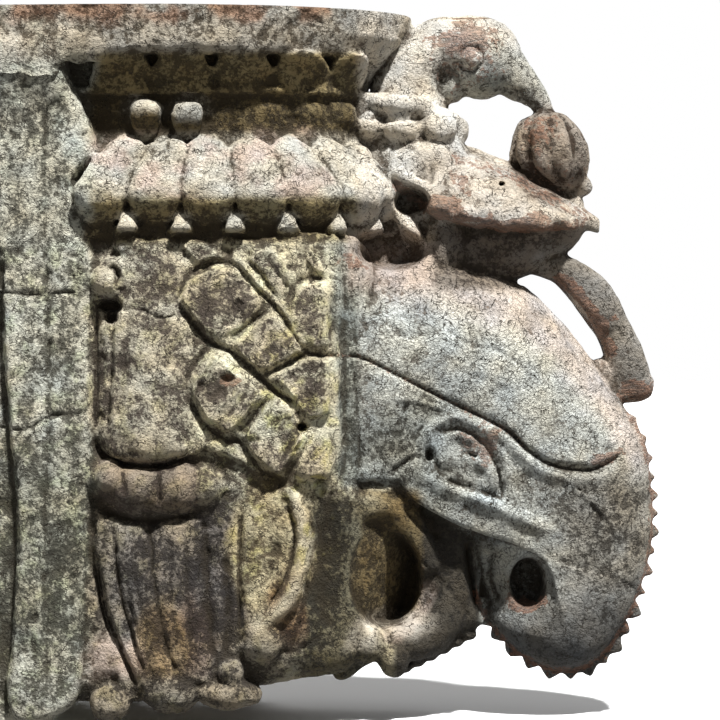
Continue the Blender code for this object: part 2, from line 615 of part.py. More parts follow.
def carve(mesh):
    # moves points of the sides towards the middle plane along each groove and in each hollow
    co = np.empty(len(mesh.vertices) * 3, np.float32)
    mesh.vertices.foreach_get("co", co)
    co = co.reshape(-1, 3).astype(float)
    normals = np.empty(len(mesh.vertices) * 3, np.float32)
    mesh.vertices.foreach_get("normal", normals)
    normals = normals.reshape(-1, 3)
    depth = np.abs(co[:, 1]) / STEP
    scale = 1 - depth / EYE
    u = MIDDLE + (co[:, 0] / STEP + WALL_U - MIDDLE) / scale
    v = MIDDLE + (-co[:, 2] / STEP) / scale
    points = np.stack([u, v], 1)
    facing = np.clip(np.abs(normals[:, 1]) * 2 - 0.3, 0, 1)
    cut = np.zeros(len(co))
    for line, width, deep in (
        # harness
        ([(177, 304), (207, 340), (252, 370), (300, 404)], 3.6, 7),
        ([(234, 262), (278, 310), (304, 350), (332, 356)], 3, 5),
        ([(189, 398), (224, 439), (262, 472), (286, 483)], 4, 7),
        ([(264, 376), (308, 353)], 3, 4),
        ([(270, 396), (240, 434)], 3, 4),
        # fluted leg, the undercuts of the thigh and the armlet
        ([(116, 518), (118, 580), (132, 632), (148, 672)], 3.5, 8),
        ([(156, 520), (153, 580), (160, 646), (172, 676)], 3.5, 8),
        ([(184, 530), (188, 606), (194, 664)], 4, 5),
        ([(206, 510), (206, 560), (214, 664)], 6, 7),
        ([(98, 508), (124, 519), (160, 521), (198, 514)], 4, 10),
        ([(94, 434), (102, 455), (130, 466), (162, 466), (190, 455)], 4.5, 13),
        # ear
        ([(284, 500), (294, 530), (294, 556), (284, 586), (266, 612)], 5, 8),
        # brow, eye and the seam of the trunk
        (browLine, 3, 5),
        ([(440, 432), (462, 430), (484, 446), (498, 472)], 3.6, 4),
        ([(466, 540), (469, 572), (476, 602), (485, 624)], 4, 12),
    ):
        shape = grooveShape(points, line, width, deep)
        cut = np.maximum(cut, shape)
    moved = depth - cut * facing
    # the trunk's hole, the skin beside the ear, the mouth in two steps, the eye, the hollows by the bird
    for cu, cv, ru, rv, floor, soft in ((528, 583, 18, 25, 12, 0.15), (338, 575, 26, 92, 96, 0.5),
                                        (378, 578, 42, 48, 46, 0.7), (403, 584, 17, 38, 22, 0.4),
                                        (411, 201, 18, 14, 26, 0.3), (447, 471, 14, 8, 86, 0.6),
                                        (392, 250, 34, 18, 34, 0.4)):
        away = np.hypot((u - cu) / ru, (v - cv) / rv)
        share = np.clip((1 + 0.3 * soft - away) / (1.3 * soft), 0, 1)
        moved = np.where(moved > floor, moved + (floor - moved) * share, moved)
    co[:, 1] = np.where(depth > 3, np.sign(co[:, 1]) * moved * STEP, co[:, 1])
    mesh.vertices.foreach_set("co", co.astype(np.float32).ravel())
    mesh.update()


def finished(skin, collection, helpers, material):
    skin.name = "corbel"
    corbel = bpy.data.objects.new("corbel", skin)
    collection.objects.link(corbel)
    smooth = corbel.modifiers.new("Ease", "SMOOTH")
    smooth.factor = 0.5
    smooth.iterations = 2
    bpy.context.view_layer.update()
    count = len(skin.polygons) * 2
    thin = corbel.modifiers.new("Thin", "DECIMATE")
    thin.ratio = TRIANGLES / count
    thin.use_collapse_triangulate = True
    # the wall face, the beam seat and the foot are sawn flat
    cutter = bpy.data.meshes.new("sawn_block")
    front = 2 * MIDDLE + SAW_MARGIN
    high = TOP_V - SAW_MARGIN
    profile = [(WALL_U, TOP_V), (SEAT_END_U, TOP_V), (SEAT_END_U, high), (front, high)]
    profile += [(front, FOOT_V), (WALL_U, FOOT_V)]
    block = bmesh.new()
    wide = SLAB_DEPTH + SAW_MARGIN
    ends = [[block.verts.new(place(u, y, v)) for u, v in profile] for y in (-wide, wide)]
    block.faces.new(ends[0])
    block.faces.new(ends[1])
    for k in range(len(profile)):
        j = (k + 1) % len(profile)
        block.faces.new([ends[0][k], ends[0][j], ends[1][j], ends[1][k]])
    bmesh.ops.recalc_face_normals(block, faces=block.faces)
    block.to_mesh(cutter)
    block.free()
    saw = bpy.data.objects.new("sawn_block", cutter)
    saw.display_type = "WIRE"
    saw.hide_render = True
    helpers.objects.link(saw)
    bpy.context.view_layer.update()
    graph = bpy.context.evaluated_depsgraph_get()
    thinned = bpy.data.meshes.new_from_object(corbel.evaluated_get(graph))
    corbel.modifiers.clear()
    corbel.data = thinned
    bpy.data.meshes.remove(skin)
    trim = corbel.modifiers.new("Saw", "BOOLEAN")
    trim.operation = "INTERSECT"
    trim.solver = "EXACT"
    trim.object = saw
    thinned.materials.append(material)
    return corbel


def woodMaterial():
    material = bpy.data.materials.new("old_painted_wood")
    material.use_nodes = True
    shader = material.node_tree.nodes["Principled BSDF"]
    shader.inputs["Base Color"].default_value = (0.37, 0.36, 0.27, 1)
    shader.inputs["Roughness"].default_value = 0.85
    shader.inputs["Metallic"].default_value = 0.0
    return material


def main():
    for item in list(bpy.data.objects):
        bpy.data.objects.remove(item)
    collection = bpy.data.collections.new("Corbel")
    helpers = bpy.data.collections.new("Cutters")
    bpy.context.scene.collection.children.link(collection)
    bpy.context.scene.collection.children.link(helpers)
    helpers.hide_render = True
    clay = Clay()
    addStile(clay)
    addCapital(clay)
    addBody(clay)
    addHead(clay)
    addBird(clay)
    skin = fused(clay, VOXEL)
    carve(skin)
    finished(skin, collection, helpers, woodMaterial())


main()
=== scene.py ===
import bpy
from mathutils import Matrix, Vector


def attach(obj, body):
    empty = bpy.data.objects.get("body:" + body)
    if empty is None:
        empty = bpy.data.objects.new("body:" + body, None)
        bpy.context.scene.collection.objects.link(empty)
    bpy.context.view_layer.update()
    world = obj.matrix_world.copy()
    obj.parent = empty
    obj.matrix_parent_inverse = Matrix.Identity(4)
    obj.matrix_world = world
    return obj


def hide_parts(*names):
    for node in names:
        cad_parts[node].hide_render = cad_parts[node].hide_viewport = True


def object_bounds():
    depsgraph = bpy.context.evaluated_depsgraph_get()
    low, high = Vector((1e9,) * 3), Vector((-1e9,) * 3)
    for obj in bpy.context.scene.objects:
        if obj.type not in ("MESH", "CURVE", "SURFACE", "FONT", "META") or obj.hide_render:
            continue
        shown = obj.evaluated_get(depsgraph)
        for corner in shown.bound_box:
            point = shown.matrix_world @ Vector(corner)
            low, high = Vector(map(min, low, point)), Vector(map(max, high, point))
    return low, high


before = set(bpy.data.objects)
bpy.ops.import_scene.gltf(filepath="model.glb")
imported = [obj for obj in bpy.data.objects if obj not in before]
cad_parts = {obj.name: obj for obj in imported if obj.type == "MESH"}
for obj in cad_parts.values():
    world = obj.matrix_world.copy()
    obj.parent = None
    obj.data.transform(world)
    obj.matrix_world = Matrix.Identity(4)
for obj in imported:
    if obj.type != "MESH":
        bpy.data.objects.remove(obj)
cadBox = [list(map(float, corner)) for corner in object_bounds()]

import math

import bmesh
import bpy
import numpy as np
from mathutils import Matrix, Vector, noise

# The corbel is laid out on a grid as an eye 2900 steps away sees it, and both sides are carved alike.
layout = {
    "step": 0.0007,
    "eye": 2900.0,
    "middle": 360.0,
    "wall": -50.0,
    "top": 20.0,
    "foot": 712.0,
    "seatEnd": 424.0,
    "far": 760.0,
    "firstPetal": 208.0,
}
step = layout["step"]
eye = layout["eye"]
middle = layout["middle"]
firstPetal = layout["firstPetal"]


def seen(u, v, depth):
    scale = 1.0 - depth / eye
    return middle + (u - middle) * scale, middle + (v - middle) * scale


def place(u, y, v):
    return Vector(((u - layout["wall"]) * step, y * step, (middle - v) * step))


def flatPoint(u, y, v):
    cu, cv = seen(u, v, abs(y))
    return cu, y, cv


def ramp(x, low, high):
    t = np.clip((x - low) / (high - low), 0, 1)
    return t * t * (3 - 2 * t)


def upTo(x, low, high):
    # 1 below low, falling to 0 at high
    return ramp(-x, -high, -low)


def spline(points, steps=6, closed=True):
    # Catmull-Rom curve through a few points
    p = np.array(points, float)
    n = len(p)
    rows = []
    for i in range(n if closed else n - 1):
        if closed:
            a, b, c, d = (p[(i + k) % n] for k in (-1, 0, 1, 2))
        else:
            a, b, c, d = (p[min(max(i + k, 0), n - 1)] for k in (-1, 0, 1, 2))
        for t in np.arange(steps) / steps:
            rows.append(0.5 * (2 * b + (c - a) * t + (2 * a - 5 * b + 4 * c - d) * t ** 2
                               + (3 * b - a - 3 * c + d) * t ** 3))
    if not closed:
        rows.append(p[-1])
    return np.array(rows)


def inside(points, outline):
    u, v = points[:, 0], points[:, 1]
    found = np.zeros(len(points), bool)
    for (u0, v0), (u1, v1) in zip(outline, np.roll(outline, -1, 0)):
        if v0 == v1:
            continue
        crossing = (v0 > v) != (v1 > v)
        found ^= crossing & (u < (u1 - u0) * (v - v0) / (v1 - v0) + u0)
    return found


def toLine(points, line, closed=False):
    # distance of each point from a line, and the nearest place on it
    ends = np.roll(line, -1, 0) if closed else line[1:]
    starts = line if closed else line[:-1]
    best = np.full(len(points), 1e9)
    near = np.zeros((len(points), 2))
    for a, b in zip(starts, ends):
        run = b - a
        length = max(run @ run, 1e-9)
        t = np.clip((points - a) @ run / length, 0, 1)
        foot = a + t[:, None] * run
        gap = np.hypot(points[:, 0] - foot[:, 0], points[:, 1] - foot[:, 1])
        closer = gap < best
        best[closer] = gap[closer]
        near[closer] = foot[closer]
    return best, near


def nearLine(points, line, reach):
    # distance from a line, worked out only for the points that could be within reach of it
    away = np.full(len(points), 1e3)
    low, high = line.min(0) - reach, line.max(0) + reach
    close = np.nonzero(((points > low) & (points < high)).all(1))[0]
    if len(close):
        away[close] = toLine(points[close], line)[0]
    return away


def nearBand(points, line, width):
    # 1 along a line, falling to 0 at width
    away = nearLine(points, spline(line, 6, closed=False), width * 2)
    return ramp(-away, -width, -width * 0.5)


def netOver(edge, grid):
    # square net of points over an outline, with its border on the outline, and the faces of a shell
    low, high = edge.min(0) - grid, edge.max(0) + grid
    across, down = np.ceil((high - low) / grid).astype(int) + 1
    us = low[0] + grid * np.arange(across)
    vs = low[1] + grid * np.arange(down)
    nodes = np.stack(np.meshgrid(us, vs, indexing="ij"), -1).reshape(-1, 2)
    within = inside(nodes, edge)
    gap, near = toLine(nodes, edge, closed=True)
    i, j = np.meshgrid(np.arange(across - 1), np.arange(down - 1), indexing="ij")
    first = (i * down + j).ravel()
    cells = np.stack([first, first + down, first + down + 1, first + 1], 1)
    used, cells = np.unique(cells[within[cells].all(1)], return_inverse=True)
    cells = cells.reshape(-1, 4)
    sides = np.concatenate([cells[:, [k, (k + 1) % 4]] for k in range(4)])
    _, lead, times = np.unique(np.sort(sides, axis=1), axis=0, return_index=True, return_counts=True)
    border = sides[lead[times == 1]]
    onBorder = np.unique(border)
    flat, gap = nodes[used], gap[used]
    flat[onBorder] = near[used][onBorder]
    gap[onBorder] = 0
    count = len(flat)
    faces = cells[:, ::-1].tolist() + (cells + count).tolist()
    faces += [[a, b, b + count, a + count] for a, b in border.tolist()]
    return flat, gap, faces


def bothSides(plan):
    return [(u, -y) for u, y in plan] + [(u, y) for u, y in plan[::-1][1:]]


def primitive(form, **settings):
    bm = bmesh.new()
    form(bm, **settings)
    corners = np.array([vert.co for vert in bm.verts])
    faces = [[vert.index for vert in face.verts] for face in bm.faces]
    bm.free()
    return corners, faces


class Clay:
    # gathers rough forms, which are then fused into one skin
    def __init__(self):
        self.corners = []
        self.faces = []
        self.count = 0
        self.ball = primitive(bmesh.ops.create_uvsphere, u_segments=28, v_segments=18, radius=1)
        self.cube = primitive(bmesh.ops.create_cube, size=1)

    def add(self, corners, faces, matrix=None):
        if matrix is not None:
            turn = np.array(matrix)
            corners = corners @ turn[:3, :3].T + turn[:3, 3]
        self.corners.append(np.asarray(corners, float))
        self.faces += [[k + self.count for k in face] for face in faces]
        self.count += len(corners)

    def blob(self, u, v, y, ru, rv, ry, turn=0.0):
        cu, cv = seen(u, v, y)
        for depth in {y, -y}:
            matrix = (Matrix.Translation(place(cu, -depth, cv))
                      @ Matrix.Rotation(math.radians(turn), 4, "Y")
                      @ Matrix.Diagonal((ru * step, ry * step, rv * step, 1)))
            self.add(*self.ball, matrix)

    def box(self, u0, u1, v0, v1, depth):
        centre = place((u0 + u1) / 2, 0, (v0 + v1) / 2)
        size = ((u1 - u0) * step, 2 * depth * step, (v1 - v0) * step, 1)
        self.add(*self.cube, Matrix.Translation(centre) @ Matrix.Diagonal(size))

    def loft(self, rings):
        size = len(rings[0])
        faces = []
        for i in range(len(rings) - 1):
            for k in range(size):
                j = (k + 1) % size
                faces.append([i * size + k, i * size + j, (i + 1) * size + j, (i + 1) * size + k])
        faces.append(list(range(size))[::-1])
        faces.append([(len(rings) - 1) * size + k for k in range(size)])
        self.add(np.array([co for ring in rings for co in ring]), faces)

    def rod(self, path, y, radii, squash=1.0, power=2.0):
        # tapered round bar through (u, v) points, at one depth or at a depth for each point
        depths = y if isinstance(y, (list, tuple)) else [y] * len(path)
        rows = []
        for (u, v), d, r in zip(path, depths, radii):
            cu, cv = seen(u, v, d)
            rows.append((cu, d, cv, r))
        fine = spline(rows, 8, closed=False)
        section = []
        for a in np.linspace(0, 2 * math.pi, 17)[:-1]:
            section.append([math.copysign(abs(t) ** (2 / power), t) for t in (math.cos(a), math.sin(a))])
        for side in (1, -1) if any(depths) else (1,):
            centres = np.array([(u, -d * side, v) for u, d, v, r in fine])
            runs = np.gradient(centres, axis=0)
            rings = []
            for centre, run, r in zip(centres, runs, fine[:, 3]):
                run = Vector(run).normalized()
                across = run.cross(Vector((0, 1, 0))).normalized()
                up = run.cross(across)
                r = max(r, 0.5)
                around = [Vector(centre) + across * (r * c) + up * (r * squash * d) for c, d in section]
                rings.append([place(*point) for point in around])
            self.loft(rings)
            for u, d, v, r in (fine[0], fine[-1]):
                end = Matrix.Translation(place(u, -d * side, v))
                self.add(*self.ball, end @ Matrix.Diagonal((r * step, r * step * squash, r * step, 1)))

    def shell(self, flat, faces, front, back):
        layers = []
        for y in (front, back):
            x, z = (flat[:, 0] - layout["wall"]) * step, (middle - flat[:, 1]) * step
            layers.append(np.stack([x, -y * step, z], 1))
        self.add(np.concatenate(layers), faces)

    def pillow(self, outline, depth, rim, roundOver, base=0.0, grid=3.0):
        # cushioned form over an outline, which swells from its rim to the full depth
        edge = spline(outline, 6)
        flat, gap, faces = netOver(middle + (edge - middle) * (1.0 - depth / eye), grid)
        share = np.clip(gap / roundOver, 0, 1)
        height = rim + (depth - rim) * (1 - (1 - share) ** 2) ** 0.5
        if base:
            self.shell(flat, faces, height, np.full(len(flat), base))
            self.shell(flat, faces, -height, np.full(len(flat), -base))
        else:
            self.shell(flat, faces, height, -height)

    def relief(self, outline, heightAt, base=0.0, grid=3.0, steps=6):
        # form over an outline whose height follows a function of (u, v), with an upright edge
        flat, _, faces = netOver(spline(outline, steps), grid)
        height = heightAt(flat[:, 0], flat[:, 1])
        flat = middle + (flat - middle) * (1 - height / eye)[:, None]
        for side in (1, -1):
            self.shell(flat, faces, height * side, np.full(len(flat), float(base * side)))

    def tray(self, plan, v0, v1, lip=0.0):
        # moulding of one plan from v0 down to v1, with its edges rounded by lip
        full = bothSides(plan)
        layers = [(v0, 0.0), (v1, 0.0)]
        if lip:
            layers = [(v0, lip), (v0 + lip * 0.3, lip * 0.3), (v0 + lip, 0.0)]
            layers += [(v1 - lip, 0.0), (v1 - lip * 0.3, lip * 0.3), (v1, lip)]
        reach = plan[-1][0]
        deep = max(y for _, y in plan)
        rings = []
        for v, shrink in layers:
            rings.append([place(u * (1 - shrink / reach), y * (1 - shrink / deep), v) for u, y in full])
        self.loft(rings)


def planLine(reach, depth, back=50.0, start=215.0, power=2.5, backDepth=None):
    # plan of a moulding: beside the stile it is nearly straight, and its front is rounded
    rows = []
    if backDepth is not None:
        for k in range(8):
            t = k / 8
            rise = (depth - backDepth) * math.sin(0.5 * math.pi * t)
            rows.append((back + (start - back) * t, backDepth + rise))
    else:
        rows.append((back, depth))
    for t in 0.5 * math.pi * np.arange(41) / 40:
        rows.append((start + (reach - start) * math.sin(t) ** (2 / power), depth * math.cos(t) ** (2 / power)))
    return rows


class Ring:
    # a moulding's plan, on which ornament is placed by its length from the first petal
    def __init__(self, reach, depth):
        self.line = np.array(planLine(reach, depth, back=0.0))
        runs = np.hypot(*np.diff(self.line, axis=0).T)
        self.total = np.concatenate([[0], np.cumsum(runs)]) - firstPetal

    def at(self, along):
        along = min(along, self.total[-1])
        k = int(min(max(np.searchsorted(self.total, along) - 1, 0), len(self.total) - 2))
        run = self.line[k + 1] - self.line[k]
        t = (along - self.total[k]) / max(self.total[k + 1] - self.total[k], 1e-6)
        point = self.line[k] + run * t
        run = run / max(np.hypot(*run), 1e-6)
        return point, np.array([-run[1], run[0]])


def petal(clay, k, rows, centre=0.0, back=16.0, square=2.0, dip=0.85):
    # one lotus petal. A row is (v, reach, depth, pitch, share of the pitch, swell), as the eye sees it
    spans = np.linspace(-1, 1, 15)
    rings = []
    for v, reach, depth, pitch, share, swell in rows:
        ring = Ring(reach, depth)
        half = 0.5 * pitch * share
        outer, inner = [], []
        for s in spans:
            u, low = seen(firstPetal + centre + pitch * k + s * half, v, depth)
            point, out = ring.at(u - firstPetal)
            outer.append((point + out * swell * (1 - dip * abs(s) ** square) ** 0.6, low))
            inner.append((point - out * back, low))
        rings.append(outer + inner[::-1])
    for side in (1, -1):
        clay.loft([[place(point[0], -point[1] * side, v) for point, v in ring] for ring in rings])


# the stile and the capital
capital = {
    "slabDepth": 134.0,
    "slabReach": 412.0,
    "petals": 6,
    "petalSwell": 9.0,
    "tabPitch": 41.0,
    "archPitch": 61.0,
}


def addStile(clay):
    clay.box(-62, 62, 12, 712, 101)
    edge = [(-6, 0), (60, 2), (64, 60), (72, 84), (96, 146), (72, 186), (93, 250), (90, 360)]
    edge += [(94, 450), (90, 514), (84, 620), (80, 690), (54, 718), (8, 712), (14, 600), (14, 500)]
    edge += [(6, 400), (0, 300)]
    clay.pillow(edge, 117, 108, 10, base=60, grid=2.5)
    clay.box(-62, 10, 12, 296, 112)
    clay.box(-62, 10, 612, 700, 109)


def addCapital(clay):
    reach, depth = capital["slabReach"], capital["slabDepth"]
    rings = []
    # the slab, as (v, what its reach lacks, what its depth lacks)
    for v, short, thin in ((10, 7, 6), (13, 1, 1), (22, 0, 1), (44, 6, 0), (58, 20, 0),
                           (62, 24, 2), (65, 32, 8)):
        deep = depth - thin
        plan = planLine(reach - short, deep, back=-62.0, start=150.0, power=2.15,
                        backDepth=min(117.0, deep - 12))
        rings.append([place(u, y, v) for u, y in bothSides(plan)])
    clay.loft(rings)
    for v0, v1, reach, depth, lip in ((40, 262, 350, 90, 0), (58, 76, 356, 93, 0), (92, 140, 362, 92, 0),
                                      (96, 102, 366, 101, 2), (128, 162, 366, 93, 3), (160, 236, 380, 104, 6),
                                      (231, 241, 384, 112, 3), (236, 262, 372, 106, 0)):
        clay.tray(planLine(reach, depth), v0, v1, lip)
    pitch = capital["archPitch"]
    for k in range(-2, 5):
        rows = [(49, 376, 116, pitch, 0.30, 10), (53, 374, 112, pitch, 0.62, 12),
                (59, 370, 107, pitch, 0.82, 12), (66, 366, 102, pitch, 0.93, 10),
                (76, 362, 97, pitch, 0.98, 7), (86, 360, 95, pitch, 1.0, 5), (94, 358, 94, pitch, 1.0, 4)]
        petal(clay, k, rows, centre=35, square=2.4)
    pitch = capital["tabPitch"]
    for k in range(-3, 6):
        proud, swell = (4, 11) if k in (-1, 0) else (-12, 5)  # two tabs near the stile stand out further
        rows = [(101, 366, 98 + proud, pitch, 0.55, 4), (104, 370, 101 + proud, pitch, 0.70, swell - 1),
                (110, 371, 102 + proud, pitch, 0.76, swell), (118, 371, 101 + proud, pitch, 0.74, swell),
                (126, 370, 97 + proud, pitch, 0.66, swell - 2), (134, 366, 94 + proud, pitch, 0.5, 2),
                (140, 364, 92 + proud, pitch, 0.4, 1)]
        petal(clay, k, rows, centre=-21, square=4)
    swell = capital["petalSwell"]
    for k in range(-2, capital["petals"]):
        rows = [(133, 360, 95, 40, 0.08, 0), (137, 363, 98, 40, 0.42, 5),
                (142, 366, 102, 41, 0.80, swell * 0.9), (147, 369, 105, 42, 0.98, swell),
                (162, 380, 113, 47, 1.0, swell), (178, 391, 121, 51, 1.0, swell),
                (186, 396, 125, 53.5, 1.0, swell), (191, 397, 126, 54, 0.99, swell + 1),
                (198, 396, 124, 54, 0.95, swell + 3), (207, 391, 119, 54, 0.88, swell + 4),
                (216, 384, 113, 54, 0.74, swell + 3), (223, 377, 108, 54, 0.54, swell),
                (228, 370, 104, 54, 0.30, 3), (231, 366, 101, 54, 0.12, 0)]
        petal(clay, k, rows, square=2.6, dip=0.6)
        dart = [(207, 384, 115, 54, 0.04, 0), (213, 389, 120, 54, 0.12, 2), (221, 393, 124, 54, 0.26, 3),
                (228, 395, 126, 54, 0.40, 3), (232, 392, 123, 54, 0.42, 0)]
        petal(clay, k + 0.5, dart, back=26)


# the body between the stile and the head
body = {
    "torsoDepth": 112.0,
    "harnessRaise": 8.0,
    "thighRaise": 19.0,
}
harnessPlates = [
    [(178, 244), (196, 238), (216, 246), (238, 260), (212, 262), (196, 266)],
    [(177, 300), (189, 277), (212, 265), (238, 267), (266, 306), (228, 338), (206, 335)],
    [(231, 342), (268, 311), (280, 314), (306, 350), (264, 374), (240, 360)],
    [(268, 376), (308, 355), (331, 358), (331, 416), (304, 420), (284, 390)],
    [(246, 258), (256, 248), (274, 246), (294, 274), (283, 300), (262, 282)],
    [(288, 302), (302, 280), (329, 282), (330, 350), (310, 350), (288, 314)],
    [(303, 242), (314, 248), (331, 276), (318, 276), (304, 262)],
    [(210, 348), (188, 378), (190, 398), (204, 420), (230, 436), (266, 394), (246, 376)],
    [(274, 396), (240, 436), (250, 456), (280, 480), (308, 436), (290, 404)],
    [(313, 428), (331, 426), (333, 480), (296, 482), (292, 470)],
]


def bodyHeight(u, v):
    # swelling belly of the animal, fullest at the harness
    bulge = 1 - ((u - 250) / 118) ** 2 - ((v - 360) / 150) ** 2
    return 108.0 + 16.0 * np.clip(bulge, 0, 1) ** 0.7


def thighHeight(u, v):
    across = np.interp(u, [92, 98, 104, 114, 130, 152, 176, 200, 222], [-14, -5, 2, 11, 17, 19, 17, 10, 2])
    down = np.interp(v, [238, 262, 320, 380, 430, 448, 458, 466], [0.1, 0.45, 0.75, 0.95, 1.0, 0.92, 0.7, 0.4])
    return body["torsoDepth"] + across * down * body["thighRaise"] / 19  # 19 is the fullest of across


def addBody(clay):
    torso = [(60, 240), (200, 232), (356, 236), (372, 330), (360, 470), (372, 560), (360, 662), (300, 682)]
    torso += [(240, 692), (170, 702), (110, 704), (64, 696), (56, 620)]
    clay.pillow(torso, body["torsoDepth"], 84, 60, grid=4)
    belly = [(150, 242), (250, 240), (334, 242), (338, 360), (336, 486), (290, 486), (240, 462)]
    belly += [(196, 440), (160, 380)]
    clay.relief(belly, bodyHeight, base=80, grid=3)
    # the scroll, the thigh, the strip beside it, the armlet and the fluted lower leg
    clay.blob(107, 281, 108, 16, 17, 22)
    clay.rod([(108, 262), (120, 266), (125, 280), (120, 296)], 114, [7, 8, 8, 5])
    clay.rod([(112, 268), (97, 280), (95, 302)], 108, [9, 8, 4])
    clay.pillow([(116, 238), (144, 237), (146, 254), (132, 262), (116, 254)], 120, 112, 8, base=80, grid=2.2)
    clay.rod([(124, 264), (140, 254), (160, 246), (178, 246)], 108, [8, 9, 9, 7])
    clay.rod([(104, 330), (103, 380), (101, 430)], 106, [5, 6, 5])
    clay.rod([(124, 300), (119, 350), (111, 410)], 110, [4, 6, 5])
    thigh = [(100, 320), (108, 282), (140, 248), (200, 246), (222, 320), (214, 400), (204, 446), (186, 456)]
    thigh += [(160, 463), (128, 462), (104, 448), (95, 426)]
    clay.relief(thigh, thighHeight, base=80, grid=2.6)
    clay.rod([(100, 480), (128, 487), (160, 490), (206, 486)], 106, [17, 25, 26, 20])
    for u, v, ru, rv in ((110, 479, 17, 20), (140, 488, 22, 30), (179, 487, 26, 27)):
        clay.blob(u, v, 106, ru, rv, 27)
    shin = [(98, 512), (150, 520), (200, 512), (208, 600), (216, 690), (150, 702), (118, 640), (100, 580)]
    clay.pillow(shin, 121, 100, 34, base=80)
    for u, v, r in ((107, 566, 11), (136, 600, 16), (170, 610, 15)):
        clay.rod([(u, 524), (u + 3, v), (u + 30 - 0.1 * u, 694)], 107, [r - 2, r, r - 5])
    clay.rod([(101, 514), (104, 570), (116, 630), (136, 684)], 112, [5, 7, 7, 5])
    for u, v, ru, rv in ((172, 692, 27, 22), (230, 694, 32, 16), (231, 672, 14, 14), (110, 703, 20, 19)):
        clay.blob(u, v, 104, ru, rv, 24)
    clay.rod([(98, 660), (120, 650), (138, 690)], 98, [8, 16, 12])
    # the leaf-shaped ear and its rolled rim
    ear = [(286, 482), (306, 512), (312, 545), (306, 578), (286, 618), (278, 652), (256, 664)]
    ear += [(240, 640), (241, 570), (242, 520), (262, 496)]
    clay.pillow(ear, 120, 110, 26, base=80, grid=2.6)
    rolled = [(288, 492), (303, 520), (306, 545), (300, 574), (282, 606), (262, 626)]
    clay.rod(rolled, 116, [5, 9, 11, 11, 10, 6])
    clay.blob(262, 640, 108, 20, 22, 17)
    # harness plates
    for outline in harnessPlates:
        centre = np.mean(outline, axis=0)
        top = float(bodyHeight(centre[0], centre[1])) + body["harnessRaise"]
        points = np.array(outline, float)
        rounded = []
        for a, b in zip(points, np.roll(points, -1, 0)):
            rounded += [a * 0.88 + b * 0.12, a * 0.5 + b * 0.5, a * 0.12 + b * 0.88]
        clay.pillow(rounded, top, top - 10, 9, base=80, grid=2.2)
    clay.rod([(236, 260), (258, 284), (282, 308), (302, 344)], 122, [4, 5, 5, 4])
    clay.rod([(334, 240), (335, 360), (334, 486)], 106, [5, 6, 5])


# the elephant's head, trunk and lower jaw
head = {
    "skullDepth": 104.0,
    "trunkDepth": 64.0,
    "toothPitch": 19.5,
    "toothSize": 6.5,
}
crest = [(326, 244), (430, 246), (515, 281), (557, 317), (600, 370), (631, 420)]
trunkEdge = [(628, 414), (644, 446), (652, 490), (650, 548), (634, 605), (603, 655), (566, 671), (527, 659)]
trunkEdge += [(493, 628), (474, 592)]
browLine = [(322, 356), (359, 357), (407, 380), (449, 401), (505, 429), (528, 450), (553, 465)]
browLine += [(590, 470), (622, 455)]
lipLine = [(351, 479), (397, 482), (407, 495), (428, 510), (454, 523), (479, 533), (505, 541)]
lipLine += [(526, 551), (544, 562)]


def headHeight(u, v):
    # full at the cheek and thinner towards the trunk, rounded down to the crest
    line = spline(crest + trunkEdge, 6, closed=False)
    away = toLine(np.stack([u, v], 1), line)[0]
    along = np.clip(((u - 420) * 0.6 + (v - 360) * 0.8) / 260, 0, 1)
    full = head["skullDepth"] + (head["trunkDepth"] - head["skullDepth"]) * along
    far = 128 - 62 * along
    rim = 16 + 12 * along
    share = np.clip(away / far, 0, 1)
    return rim + (full - rim) * (1 - (1 - share) ** 2.1) ** (1 / 2.1)


def trunkHeight(u, v):
    # the curled tip lies lower than the lip above it
    low = 13 * upTo(u, 540, 566) + 14 * upTo(u, 484, 520)
    return np.maximum(headHeight(u, v) - low * upTo(v, 590, 640), 14)


